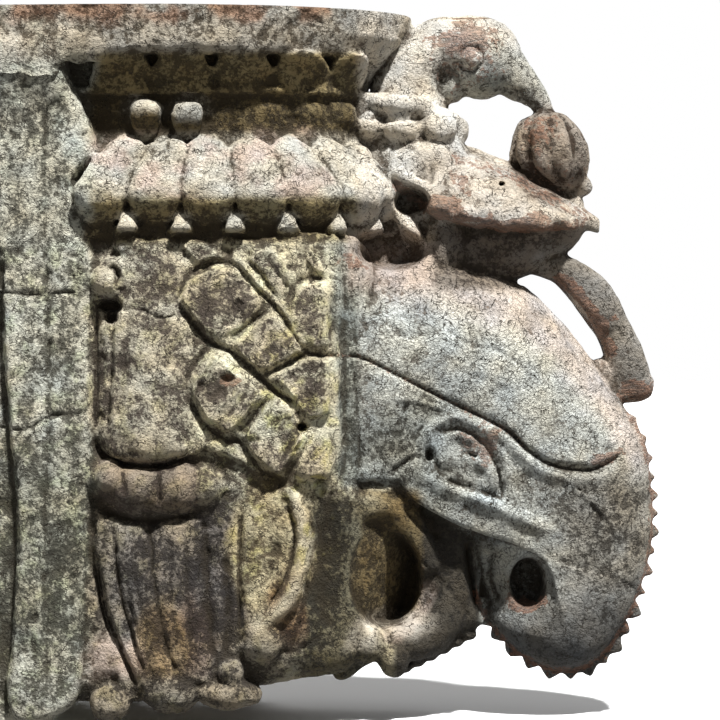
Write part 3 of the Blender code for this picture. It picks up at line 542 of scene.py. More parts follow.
def addHead(clay):
    skull = crest + [(646, 446), (652, 490), (650, 548), (634, 605), (600, 648), (568, 640)]
    skull += [(560, 606), (553, 580)] + lipLine[::-1] + [(326, 470)]
    clay.relief(skull, headHeight, grid=3.2, steps=4)
    clay.box(326, 420, 300, 470, 78)
    disc = trunkEdge + [(468, 548), (490, 530), (540, 520), (600, 470)]
    clay.relief(disc, trunkHeight, grid=3.2, steps=4)
    rim = spline(trunkEdge, 12, closed=False)
    runs = np.concatenate([[0], np.cumsum(np.hypot(*np.diff(rim, axis=0).T))])
    for k in range(int(runs[-1] / head["toothPitch"]) + 1):
        along = 6 + head["toothPitch"] * k + 2.5 * math.sin(7.0 * k)
        u = np.interp(along, runs, rim[:, 0])
        v = np.interp(along, runs, rim[:, 1])
        ahead = np.array([np.interp(along + 4, runs, rim[:, 0]) - u, np.interp(along + 4, runs, rim[:, 1]) - v])
        turn = math.degrees(math.atan2(ahead[1], ahead[0]))
        size = head["toothSize"] * (1 + 0.22 * math.sin(3.3 * k)) * (0.5 + 0.42 * float(ramp(along, 150, 235)))
        tooth = Matrix.Translation(place(u, 0, v)) @ Matrix.Rotation(math.radians(turn + 45), 4, "Y")
        clay.add(*clay.cube, tooth @ Matrix.Diagonal((size * 1.9 * step, 58 * step, size * 1.9 * step, 1)))
    # the lower jaw and its curled lip, under the overhanging upper lip
    jaw = [(330, 470), (396, 474), (440, 500), (478, 530), (480, 600), (484, 624), (440, 654), (410, 668)]
    jaw += [(376, 664), (330, 672)]
    clay.pillow(jaw, 56, 36, 30, grid=3)
    lips = [(446, 530), (450, 566), (447, 600), (433, 628), (408, 642), (384, 642), (368, 644)]
    clay.rod(lips, [30, 32, 40, 52, 67, 74, 78], [21, 24, 25, 23, 20, 17, 15])
    fold = [(345, 545), (352, 516), (370, 503), (390, 508), (409, 530), (426, 562)]
    clay.rod(fold, [80, 80, 76, 68, 60, 54], [12, 17, 20, 20, 18, 14])
    cheek = [(340, 500), (380, 488), (414, 520), (430, 580), (408, 626), (360, 636), (338, 600)]
    clay.relief(cheek, lambda u, v: np.interp(u, [340, 372, 400, 430], [98, 84, 62, 50]), grid=3)
    clay.rod([(440, 498), (446, 540)], [28, 30], [20, 20])
    clay.blob(384, 488, 66, 26, 14, 22)
    clay.blob(368, 643, 82, 16, 21, 18)
    clay.blob(393, 657, 78, 17, 20, 18)
    for k in range(6):
        clay.blob(404 + 13 * k, 667 - 6.5 * k, 40 - 3 * k, 8, 6, 24)


# the bird, its bud and the strut
bird = {
    "wingSpan": 78.0,
    "hullDepth": 52.0,
    "budRibs": 5,
}


def addBird(clay):
    clay.box(330, 396, 96, 250, 40)
    clay.rod([(410, 142), (409, 100), (417, 70), (440, 50), (470, 50)], 0, [42, 39, 34, 33, 34], squash=1.1)
    clay.blob(480, 58, 0, 43, 41, 35, turn=28)
    clay.blob(450, 84, 0, 18, 20, 26)
    clay.rod([(494, 62), (518, 82), (536, 98), (546, 114)], 0, [29, 21, 13, 9])
    clay.blob(471, 58, 32, 9, 9, 9)
    clay.blob(401, 104, 0, 38, 10, 50, turn=4)
    neckRing = [(366, 100), (380, 103), (402, 105), (422, 106), (435, 104)]
    clay.rod(neckRing, [22, 42, 50, 40, 20], [8, 10, 11, 10, 7])
    clay.rod([(372, 117), (402, 119), (438, 119), (452, 122)], [30, 38, 34, 20], [10, 12, 12, 10])
    for u, v, ru, rv, d in ((370, 127, 18, 15, 37), (401, 128, 20, 16, 43), (436, 128, 21, 16, 39),
                            (457, 130, 12, 14, 8)):
        clay.blob(u, v, d, ru, rv, 17)
    hull = [(362, 150), (380, 122), (450, 120), (472, 148), (515, 167), (560, 194), (588, 214), (578, 244)]
    hull += [(532, 273), (470, 293), (432, 288), (420, 250), (384, 216), (362, 190)]
    clay.pillow(hull, bird["hullDepth"], 14, 44, grid=3)
    clay.blob(420, 168, 0, 56, 38, 62)
    # the wings: a roof from the back's ridge down to a scalloped lip
    us = [396, 412, 430, 452, 480, 510, 540, 566, 586, 600]
    ridge = [150, 140, 138, 140, 150, 162, 181, 197, 209, 219]
    lips = [178, 184, 206, 214, 217, 220, 222, 220, 220, 222]
    wide = [0.5, 0.74, 0.88, 0.97, 1.0, 0.97, 0.86, 0.7, 0.4, 0.06]
    rings = []
    for s in np.linspace(0, 1, 46):
        along = s * (len(us) - 1)
        at, top, low, half = (np.interp(along, range(len(us)), row) for row in (us, ridge, lips, wide))
        scallop = abs(math.sin((at - 424) * math.pi / 33))
        low += 3.5 * scallop
        half *= bird["wingSpan"]
        half += 2.5 * scallop * min(1.0, half / 20)
        profile = [(0.0, top)]
        for t in (0.25, 0.5, 0.75, 0.92, 1.0):
            profile.append((half * math.sin(0.5 * math.pi * t) ** 0.9, top + (low - top) * (t ** 1.5)))
        profile += [(half * 0.97, low + 5), (half * 0.8, low + 8), (0.0, low + 10)]
        ring = [place(*flatPoint(at, -y, v)) for y, v in profile]
        ring += [place(*flatPoint(at, y, v)) for y, v in profile[-2:0:-1]]
        rings.append(ring)
    clay.loft(rings)
    for u, v, ru, rv, d in ((440, 206, 13, 11, 70), (466, 214, 12, 9, 74), (486, 216, 14, 10, 74),
                            (524, 221, 18, 10, 66), (554, 218, 13, 7, 50)):
        clay.blob(u, v, d, ru, rv, 13)
    clay.rod([(396, 172), (410, 180), (428, 190), (440, 204)], [52, 58, 64, 68], [7, 7, 8, 9])
    clay.blob(384, 200, 44, 15, 22, 18)
    clay.rod([(402, 214), (414, 240), (434, 278)], [44, 50, 56], [10, 10, 12])
    clay.rod([(446, 238), (446, 262), (450, 286)], 44, [20, 18, 13])
    clay.blob(448, 284, 50, 24, 12, 20)
    clay.blob(416, 306, 78, 30, 15, 16)
    # the bud in the beak, ribbed from end to end
    clay.blob(549, 151, 0, 26, 37, 27, turn=-18)
    for k in range(bird["budRibs"]):
        a = math.pi * (k - 2) / bird["budRibs"]
        for way in (1, -1):
            side, out = way * math.cos(a), math.sin(a)
            ribs = [(546, 114), (546 + 20 * side, 124), (548 + 30 * side, 142), (551 + 31 * side, 162)]
            ribs += [(562 + 18 * side, 180), (570, 188)]
            clay.rod(ribs, [4 * out, 20 * out, 30 * out, 31 * out, 18 * out, 6 * out], [3, 6.5, 7.5, 7.5, 5, 3])
    clay.rod([(562, 174), (582, 186)], 0, [13, 10])
    clay.rod([(560, 184), (576, 204)], 0, [8, 8])
    # the strut from the bird to the trunk, with a plain stepped end
    for across in (0, 13):
        clay.rod([(530, 260), (564, 270), (590, 292), (609, 320)], across, [12, 15, 19, 18], power=3.2)
    for across in (0, 8):
        clay.rod([(598, 300), (614, 330), (624, 354), (634, 378)], across, [16, 18, 19, 17], power=3.2)
    clay.rod([(602, 372), (616, 388), (640, 386)], 9, [14, 13, 15], power=3)


def added(name, data):
    item = bpy.data.objects.new(name, data)
    bpy.context.scene.collection.objects.link(item)
    return item


def applied(item):
    # the mesh of an object with its modifiers worked in
    bpy.context.view_layer.update()
    graph = bpy.context.evaluated_depsgraph_get()
    return bpy.data.meshes.new_from_object(item.evaluated_get(graph))


def settle(item):
    # gives an object its worked-in mesh in place of its old one
    old, mesh = item.data, applied(item)
    item.modifiers.clear()
    item.data = mesh
    bpy.data.meshes.remove(old)


def fused(clay, voxel):
    mesh = bpy.data.meshes.new("forms")
    mesh.from_pydata(np.concatenate(clay.corners), [], clay.faces)
    item = added("forms", mesh)
    remesh = item.modifiers.new("Fuse", "REMESH")
    remesh.mode = "VOXEL"
    remesh.voxel_size = voxel
    skin = applied(item)
    bpy.data.objects.remove(item)
    bpy.data.meshes.remove(mesh)
    return skin


def arrays(mesh):
    rows = []
    for name in ("co", "normal"):
        values = np.empty(len(mesh.vertices) * 3, np.float32)
        mesh.vertices.foreach_get(name, values)
        rows.append(values.reshape(-1, 3).astype(float))
    return rows


def eased(mesh, co, rounds):
    # smooths corners by moving each halfway to the mean of its neighbours
    edges = np.empty(len(mesh.edges) * 2, np.int32)
    mesh.edges.foreach_get("vertices", edges)
    a, b = edges.reshape(-1, 2).T
    count = np.bincount(a, minlength=len(co)) + np.bincount(b, minlength=len(co))
    count = np.maximum(count, 1)
    for _ in range(rounds):
        moved = np.empty_like(co)
        for k in range(3):
            total = np.bincount(a, co[b, k], len(co)) + np.bincount(b, co[a, k], len(co))
            moved[:, k] = total / count
        co = co * 0.5 + moved * 0.5
    return co


def onPicture(co):
    # layout coordinates of corners, as the eye sees them, and their depth from the middle plane
    depth = np.abs(co[:, 1]) / step
    scale = 1 - depth / eye
    u = middle + (co[:, 0] / step + layout["wall"] - middle) / scale
    v = middle + (-co[:, 2] / step) / scale
    return u, v, depth


def cloud(co, size, octaves=3, seed=0.0):
    # noise of about -1 to 1, whose largest lumps are size steps wide
    shift = Vector((seed * 7.3, seed * 3.1, seed * 5.7))
    scale = 1 / (size * step)
    return np.array([noise.fractal(Vector(p) * scale + shift, 0.9, 2.1, octaves) for p in co])


# a cut is (line, width, depth), and a negative depth raises a ridge
cuts = [
    # harness bands
    ([(177, 304), (207, 340), (231, 352), (252, 370), (278, 394), (300, 404)], 3.2, 7),
    ([(234, 262), (256, 288), (278, 310), (304, 350), (332, 356)], 2.6, 5),
    ([(189, 398), (200, 420), (224, 439), (240, 443), (262, 472), (286, 483)], 3.6, 7),
    ([(176, 302), (188, 276), (210, 263), (238, 264)], 2.4, 3),
    ([(230, 340), (268, 309)], 2.6, 3.5),
    ([(264, 376), (308, 353)], 2.4, 5),
    ([(208, 346), (188, 376), (188, 396)], 2.4, 3),
    ([(270, 396), (240, 434)], 3, 4),
    ([(312, 426), (298, 448), (284, 470)], 5, -5),
    ([(304, 424), (290, 446), (276, 466)], 3, 3),
    ([(234, 374), (206, 404)], 3, 2.5),
    ([(244, 382), (214, 414)], 2.5, -2.5),
    ([(252, 388), (224, 420)], 2.5, 2.5),
    ([(252, 262), (280, 304)], 2.6, 3.5),
    ([(262, 252), (288, 288)], 2.2, 2.5),
    ([(240, 266), (268, 304)], 2.0, -2.5),
    ([(306, 250), (320, 268)], 2.2, 3),
    ([(286, 304), (300, 280), (328, 280)], 2.4, 3),
    ([(216, 354), (196, 384), (194, 400)], 2.2, -2.5),
    # flutes of the leg
    ([(114, 520), (118, 580), (132, 636), (146, 676)], 2.6, 5),
    ([(150, 524), (154, 580), (166, 646), (178, 676)], 2.6, 3.5),
    ([(184, 530), (188, 606), (194, 664)], 4, 3),
    ([(96, 560), (104, 610), (120, 650), (138, 692)], 4, 12),
    ([(128, 600), (140, 640), (154, 680)], 2.5, 3),
    ([(134, 530), (136, 580), (146, 630)], 2.2, 2),
    ([(170, 540), (172, 600), (178, 650)], 2.2, 2),
    ([(206, 514), (206, 560), (210, 620), (214, 664)], 6, 5),
    ([(224, 550), (228, 610), (224, 660)], 6, 5),
    ([(98, 508), (124, 519), (160, 521), (198, 514)], 4, 10),
    ([(122, 462), (125, 500)], 2.6, 4),
    ([(160, 462), (159, 508)], 2.6, 6),
    ([(94, 434), (102, 455), (130, 466), (162, 466), (190, 455)], 4.5, 15),
    # the strips beside the thigh
    ([(112, 310), (111, 370), (107, 430)], 2.4, 4),
    ([(97, 300), (96, 380), (94, 440)], 3, 6),
    ([(130, 300), (126, 360), (118, 420)], 4, 2),
    ([(106, 270), (114, 268), (118, 278), (113, 290)], 2.4, 6),
    ([(99, 298), (110, 306), (122, 297)], 5, 14),
    # ear
    ([(287, 504), (294, 530), (292, 556), (282, 586), (268, 606)], 2.4, 5),
    ([(262, 510), (272, 550), (266, 596)], 9, 4),
    ([(241, 512), (239, 570), (240, 632)], 3, 5),
    ([(312, 520), (316, 560), (306, 600), (290, 650)], 3, 4),
    # creases of the skin right of the ear
    ([(352, 500), (346, 560), (330, 616), (318, 640)], 1.8, 3),
    ([(300, 650), (330, 625), (350, 590)], 2, 2.5),
    ([(338, 486), (340, 560), (336, 640)], 5, -2.5),
    # head
    (browLine[:5], 1.7, 5),
    (browLine[3:], 2.3, 6),
    (browLine[6:8], 4, 3),
    ([(p[0], p[1] + 10) for p in browLine[3:]], 7, -4),
    ([(p[0], p[1] - 10) for p in browLine[4:]], 7, -1.5),
    ([(600, 452), (620, 446)], 3, 2.5),
    ([(354, 244), (352, 320), (360, 352)], 2.2, 2.5),
    ([(352, 360), (358, 420), (360, 474)], 2.2, 2.5),
    ([(344, 250), (345, 360), (344, 480)], 4.5, 3.5),
    ([(424, 446), (434, 426), (458, 417), (484, 430), (504, 458), (514, 505)], 4.5, -3),
    ([(440, 433), (462, 430), (484, 445), (498, 472), (502, 500)], 2.6, 2.8),
    ([(414, 456), (422, 474), (452, 490), (500, 508), (560, 536)], 7, -4),
    ([(438, 482), (466, 486), (506, 500)], 4, 2.5),
    ([(456, 462), (482, 464), (506, 490)], 8, -4),
    ([(446, 432), (472, 440), (490, 462)], 4, -3),
    ([(432, 446), (434, 460), (442, 474)], 3, 4),
    ([(414, 456), (400, 466), (388, 474)], 2.5, 3),
    ([(462, 452), (478, 458), (490, 474)], 2.4, 2.5),
    ([(468, 434), (476, 448), (474, 462)], 3, -2.5),
    ([(408, 398), (404, 420), (410, 440)], 2, 2),
    ([(364, 268), (362, 300), (368, 340)], 1.6, 2),
    ([(430, 350), (470, 374), (520, 396)], 1.8, 1.2),
    ([(428, 420), (416, 436), (414, 452)], 2.5, 2.5),
    ([(448, 330), (470, 345), (500, 352), (530, 372)], 1.8, 2),
    ([(470, 345), (478, 332)], 1.8, 2),
    ([(390, 328), (412, 336), (440, 331)], 3.5, 2.5),
    ([(388, 398), (430, 404), (470, 424)], 2.5, -2),
    ([(566, 480), (590, 500), (606, 530), (620, 560)], 2, 1.0),
    ([(570, 486), (600, 508), (622, 540)], 2.4, -1.6),
    ([(556, 560), (600, 572), (640, 590)], 1.6, 1.6),
    # folds of the trunk and the seam to the jaw
    ([(466, 540), (469, 572), (476, 602), (485, 624)], 3.5, 16),
    ([(478, 545), (480, 575), (492, 610)], 3, 4),
    ([(494, 546), (492, 576), (502, 606)], 3, 5),
    # lower jaw
    ([(380, 622), (388, 634), (394, 650)], 3, 6),
    ([(420, 560), (450, 590), (470, 616)], 1.8, 2),
    ([(372, 532), (360, 560), (348, 590)], 1.8, 3),
    ([(400, 504), (420, 526), (444, 540)], 3, 5),
    # bird
    ([(362, 116), (398, 121), (434, 116)], 3, 4),
    ([(392, 122), (394, 144)], 3, 3),
    ([(424, 122), (423, 146)], 3, 3),
    ([(492, 84), (520, 96), (540, 108)], 2, 1.6),
    ([(440, 22), (470, 18), (500, 30)], 1.5, 0.8),
    ([(436, 34), (470, 30), (498, 38)], 1.5, 1.0),
    ([(440, 46), (470, 40), (496, 48)], 1.5, 1.0),
    ([(449, 198), (446, 182), (455, 170), (472, 167)], 2.4, 3),
    ([(474, 166), (470, 184), (458, 200)], 2.4, 3),
    ([(430, 160), (432, 178), (426, 190)], 3, 2.5),
    ([(496, 186), (504, 204), (506, 220)], 2.4, 1.8),
    ([(452, 204), (460, 218)], 2.4, 3),
    ([(502, 212), (506, 226)], 2.4, 3),
    ([(541, 212), (543, 226)], 2.4, 3),
    ([(459, 58), (465, 47), (478, 48), (483, 59), (475, 70), (464, 69), (459, 60)], 2.2, 3.5),
    # strut
    ([(566, 256), (594, 276), (618, 306), (634, 338)], 2, 1),
    # cracks of the stile and the thigh
    ([(-10, 292), (30, 294), (78, 292)], 1.6, 3),
    ([(-10, 424), (24, 430), (50, 416), (88, 414)], 1.6, 3),
    ([(108, 314), (136, 308), (160, 318), (180, 316), (204, 336)], 1.4, 2.5),
    ([(46, 80), (44, 200), (48, 380), (44, 560), (48, 690)], 3, 2),
]
# the grooves between the petals and their skewed tops
for k in range(-3, 3):
    places = ((3, 41, 144), (0, 48, 166), (0, 54, 190), (0, 54, 206))
    cuts.append(([(firstPetal + shift + pitch * (k + 0.5), v) for shift, pitch, v in places], 1.7, 2.2))
# a pit is (u, v, radius across, radius down, depth of its floor, softness)
pits = [
    (528, 583, 18.5, 25, 10, 0.22),
    (330, 575, 26, 92, 98, 0.7),
    (411, 201, 18, 14, 24, 0.35),
    (109, 306, 13, 8, 86, 0.5),
    (110, 316, 7, 9, 92, 0.6),
    (447, 471, 13, 7, 86, 0.9),
    (429, 455, 4.5, 8, 78, 0.7),
    (302, 427, 5.5, 4.5, 98, 0.5),
    (227, 378, 7, 5, 118, 0.8),
    (392, 250, 36, 20, 32, 0.5),
    (502, 184, 2.2, 2.2, 40, 0.5),
]


# the worn surface, with widths, heights and depths in steps
worn = {
    "lumpWidth": 60, "lumpHeight": 1.6,
    "biteWidth": 14, "biteHeight": 1.15,
    "chipWidth": 22, "chipDepth": 1.3,
    "grainWidth": 9, "grainHeight": 0.5,
    "dishDepth": 2.4,  # hollow of a harness plate
    "flushDepth": 132,  # the stile's face at the photograph's edge
    "slabWave": 2.0, "slabRipple": 1.3, "slabRise": 13,
    "margin": 0.0003,  # metres kept free inside the solid's box
}


def carve(mesh):
    co, normals = arrays(mesh)
    co = eased(mesh, co, 2)
    u, v, depth = onPicture(co)
    points = np.stack([u, v], 1)
    facing = np.clip(np.abs(normals[:, 1]) * 2 - 0.35, 0, 1)
    cut = np.zeros(len(co))
    for line, width, deep in cuts:
        away = nearLine(points, spline(line, 5, closed=False), width * 3)
        near = np.nonzero(away < width * 3)[0]
        ends = np.minimum(*(np.hypot(*(points[near] - np.array(end)).T) for end in (line[0], line[-1])))
        shape = np.zeros(len(co))
        shape[near] = deep * np.exp(-((away[near] / width) ** 2)) * ramp(ends, -width, 4 * width)
        cut = np.where(np.abs(shape) > np.abs(cut), shape, cut)
    dish = np.zeros(len(co))
    for outline in harnessPlates[:9]:
        edge = spline(outline, 3)
        close = np.nonzero(inside(points, edge))[0]
        away = toLine(points[close], edge, closed=True)[0]
        dish[close] = np.maximum(dish[close], worn["dishDepth"] * ramp(away, 5, 10))
    moved = depth - (cut + dish) * facing
    flush = upTo(u, 46, 80) * upTo(v, 62, 124) * ramp(v, 30, 44) * (depth > 95)
    moved = moved + (worn["flushDepth"] - moved) * flush
    # the mouth's hollow slopes from the cheek down to a deep right-hand side
    away = np.hypot((u - 384) / 36, (v - 578) / 48)
    floor = np.interp(u + 0.25 * (v - 578), [348, 374, 398, 412], [96, 76, 34, 12])
    moved = np.where(moved > floor, moved + (floor - moved) * upTo(away, 0.92, 1.08), moved)
    for cu, cv, ru, rv, floor, soft in pits:
        away = np.hypot((u - cu) / ru, (v - cv) / rv)
        share = ramp(-away, -1.0 - soft * 0.3, -1.0 + soft)
        moved = np.where(moved > floor, moved + (floor - moved) * share, moved)
    co[:, 1] = np.where(depth > 3, np.sign(co[:, 1]) * moved * step, co[:, 1])
    # worn surface: slow lumps everywhere and a finer bite, stronger on the stile and the harness
    lumps = cloud(co, worn["lumpWidth"], 3, 1.0)
    bite = cloud(co, worn["biteWidth"], 3, 2.0)
    rough = 0.55 + 0.5 * upTo(u, 320, 345) - 0.25 * ramp(u, 400, 430) * ramp(v, 240, 300)
    shift = lumps * worn["lumpHeight"] + bite * worn["biteHeight"] * rough
    chips = ramp(cloud(co, worn["chipWidth"], 2, 4.0), 0.30, 0.42)
    shift -= chips * worn["chipDepth"] * (0.4 + 0.6 * rough)
    grain = cloud(co * np.array([0.35, 1.0, 1.0]), worn["grainWidth"], 2, 3.0)
    shift += grain * worn["grainHeight"] * upTo(v, 300, 320) * ramp(u, 420, 440)
    co += normals * (shift * step)[:, None]
    # the slab's lower edge is worn to a wave
    wave = worn["slabWave"] * np.sin(0.11 * u) + worn["slabRipple"] * np.sin(0.29 * u + 1.0)
    wave = wave - worn["slabRise"] * upTo(u, 64, 135)
    co[:, 2] += wave * step * ramp(v, 42, 54) * upTo(v, 64, 72) * ramp(depth, 108, 120)
    low, high = (np.array(corner) + way * worn["margin"] for corner, way in zip(cadBox, (1, -1)))
    low[0] = -10 * step  # the saw takes this side
    co = np.clip(co, low, high)
    mesh.vertices.foreach_set("co", co.astype(np.float32).ravel())
    mesh.update()


def sawn(item):
    # the wall face, the beam seat and the foot are sawn flat, as in the solid
    left, top, foot, seatEnd, far = [layout[name] for name in ("wall", "top", "foot", "seatEnd", "far")]
    profile = [(left, top), (seatEnd, top), (seatEnd, 0), (far, 0), (far, foot), (left, foot)]
    block = bmesh.new()
    ends = [[block.verts.new(place(u, y, v)) for u, v in profile] for y in (-200, 200)]
    for end in ends:
        block.faces.new(end)
    for k in range(len(profile)):
        j = (k + 1) % len(profile)
        block.faces.new([ends[0][k], ends[0][j], ends[1][j], ends[1][k]])
    # the flats get a net of points, which the paint needs
    bmesh.ops.subdivide_edges(block, edges=block.edges, cuts=make["sawCuts"], use_grid_fill=True)
    bmesh.ops.recalc_face_normals(block, faces=block.faces)
    mesh = bpy.data.meshes.new("saw")
    block.to_mesh(mesh)
    block.free()
    saw = added("saw", mesh)
    trim = item.modifiers.new("Saw", "BOOLEAN")
    trim.operation = "INTERSECT"
    trim.solver = "EXACT"
    trim.object = saw
    settle(item)
    bpy.data.objects.remove(saw)
    bpy.data.meshes.remove(mesh)


def rgb(r, g, b):
    # display colour of 0 to 255 as linear light
    c = np.array([r, g, b]) / 255.0
    return np.where(c <= 0.04045, c / 12.92, ((c + 0.055) / 1.055) ** 2.4)


# for each part of the carving: the paint that is left, the stain over it, and the share that is stained
paints = {
    "stile": ((202, 199, 181), (76, 74, 64), 0.47),
    # painted shade: the stile's lower part is painted darker, as the light falls off towards the bottom
    "stileLowShade": ((172, 170, 152), (62, 61, 52), 0.57),
    "slab": ((186, 178, 162), (78, 68, 54), 0.45),
    "slabEdge": ((164, 132, 108), (84, 62, 46), 0.45),
    "recess": ((152, 136, 98), (58, 49, 32), 0.50),
    # painted shade: the row of tabs under the slab is painted dark, as it lies in the slab's shadow
    "tabShade": ((112, 98, 68), (46, 38, 24), 0.52),
    "sawn": ((150, 136, 112), (84, 72, 56), 0.36),
    "rust": ((132, 98, 66), (58, 42, 32), 0.50),
    "petal": ((206, 200, 184), (88, 80, 66), 0.27),
    "petalPink": ((206, 182, 166), (100, 82, 68), 0.24),
    # painted shade: the petals' noses and the fillet under them are painted dark, as they face down into shade
    "petalFrontShade": ((164, 150, 112), (52, 42, 30), 0.58),
    "harness": ((216, 207, 177), (80, 70, 58), 0.33),
    "plate": ((198, 188, 164), (74, 64, 58), 0.57),
    "thigh": ((196, 186, 162), (68, 58, 52), 0.46),
    "armlet": ((140, 127, 110), (58, 48, 42), 0.50),
    "leg": ((146, 136, 118), (42, 37, 32), 0.54),
    "slate": ((120, 113, 106), (42, 38, 37), 0.6),
    "ochre": ((158, 130, 84), (70, 56, 38), 0.4),
    "ear": ((190, 177, 142), (88, 76, 58), 0.40),
    "rim": ((202, 190, 162), (120, 104, 80), 0.2),
    # painted shade: the recessed skin right of the ear, turned away from the light, is painted dark
    "skin": ((108, 102, 82), (32, 29, 23), 0.54),
    "band": ((160, 162, 150), (76, 76, 68), 0.5),
    "mint": ((208, 209, 199), (104, 98, 88), 0.28),
    "cheek": ((180, 181, 170), (62, 60, 52), 0.44),
    "forehead": ((204, 192, 180), (128, 112, 98), 0.22),
    "trunk": ((154, 148, 136), (46, 42, 36), 0.50),
    # painted shade: the lower trunk, under the lip's overhang, is painted darker
    "trunkLowShade": ((98, 96, 92), (48, 46, 44), 0.5),
    # painted shade: the lower jaw is painted very dark, for the shadow of the overhanging lip
    "jaw": ((66, 61, 52), (30, 27, 23), 0.5),
    "hollow": ((122, 106, 74), (50, 42, 28), 0.46),
    "pink": ((188, 170, 156), (104, 86, 72), 0.25),
    "neck": ((218, 210, 195), (98, 86, 74), 0.22),
    "wing": ((200, 190, 175), (112, 98, 84), 0.22),
    # painted shade: the bird's underside below the wing's lip is painted darker than the wing, as it lies in
    # shade
    "hull": ((132, 121, 108), (56, 48, 42), 0.45),
    "bud": ((150, 138, 124), (64, 48, 38), 0.46),
    "strut": ((146, 140, 130), (76, 66, 56), 0.40),
}
paints = {name: (rgb(*left), rgb(*over), share) for name, (left, over, share) in paints.items()}


# stains of the leg, as (name, u, v, radius across, radius down, share)
legSpots = [
    ("slate", 216, 590, 28, 94, 0.9), ("slate", 148, 590, 30, 60, 0.7), ("slate", 178, 640, 24, 70, 0.5),
    ("ochre", 162, 646, 22, 40, 0.5), ("rust", 196, 640, 16, 40, 0.3), ("pink", 114, 668, 26, 28, 0.8),
]
# bare wood, as (u, v, radius across, radius down, share) and (line, width, share)
bareSpots = [
    (464, 38, 34, 13, 0.62), (470, 56, 40, 34, 0.44), (540, 134, 20, 22, 0.5), (548, 178, 30, 16, 0.4),
    (460, 184, 9, 14, 0.6), (440, 207, 11, 8, 0.8), (478, 217, 20, 7, 0.6), (524, 223, 20, 7, 0.9),
    (568, 284, 14, 8, 0.7), (597, 322, 14, 7, 0.8), (640, 392, 22, 14, 0.7), (606, 458, 18, 6, 0.7),
    (478, 440, 16, 14, 0.5), (494, 448, 8, 18, 0.6), (528, 604, 20, 6, 0.8), (226, 379, 9, 7, 0.7),
    (350, 262, 12, 10, 0.5),
]
bareLines = [
    ([(560, 278), (584, 300), (600, 326), (612, 352)], 9, 0.75),
    ([(396, 184), (428, 208), (470, 222), (520, 228), (580, 224)], 8, 0.6),
    ([(452, 158), (500, 172), (560, 204), (590, 216)], 8, 0.5),
]


# uneven ageing, with sizes in steps
ageing = {
    "wander": 11,  # how far the borders of the paints wander
    "patchSize": 26, "patchTone": 0.26, "patchStain": 0.22, "bodyPatches": 0.7,
    "streakSize": 11, "streakTone": 0.30, "streakStain": 0.20,
    "growthSize": 16, "growthYellow": (0.12, 0.20, 0.12),
    "warmer": 0.08, "yellower": 0.12,
    "rimBare": 0.66, "browBare": 0.5, "edgeBare": 0.35, "flatBare": (0.24, 0.16),
    "flatNear": 0.0006,  # metres
}


def spot(points, u, v, ru, rv, soft=0.6):
    away = np.hypot((points[:, 0] - u) / ru, (points[:, 1] - v) / rv)
    return ramp(-away, -1.0 - soft, -1.0 + soft * 0.4)


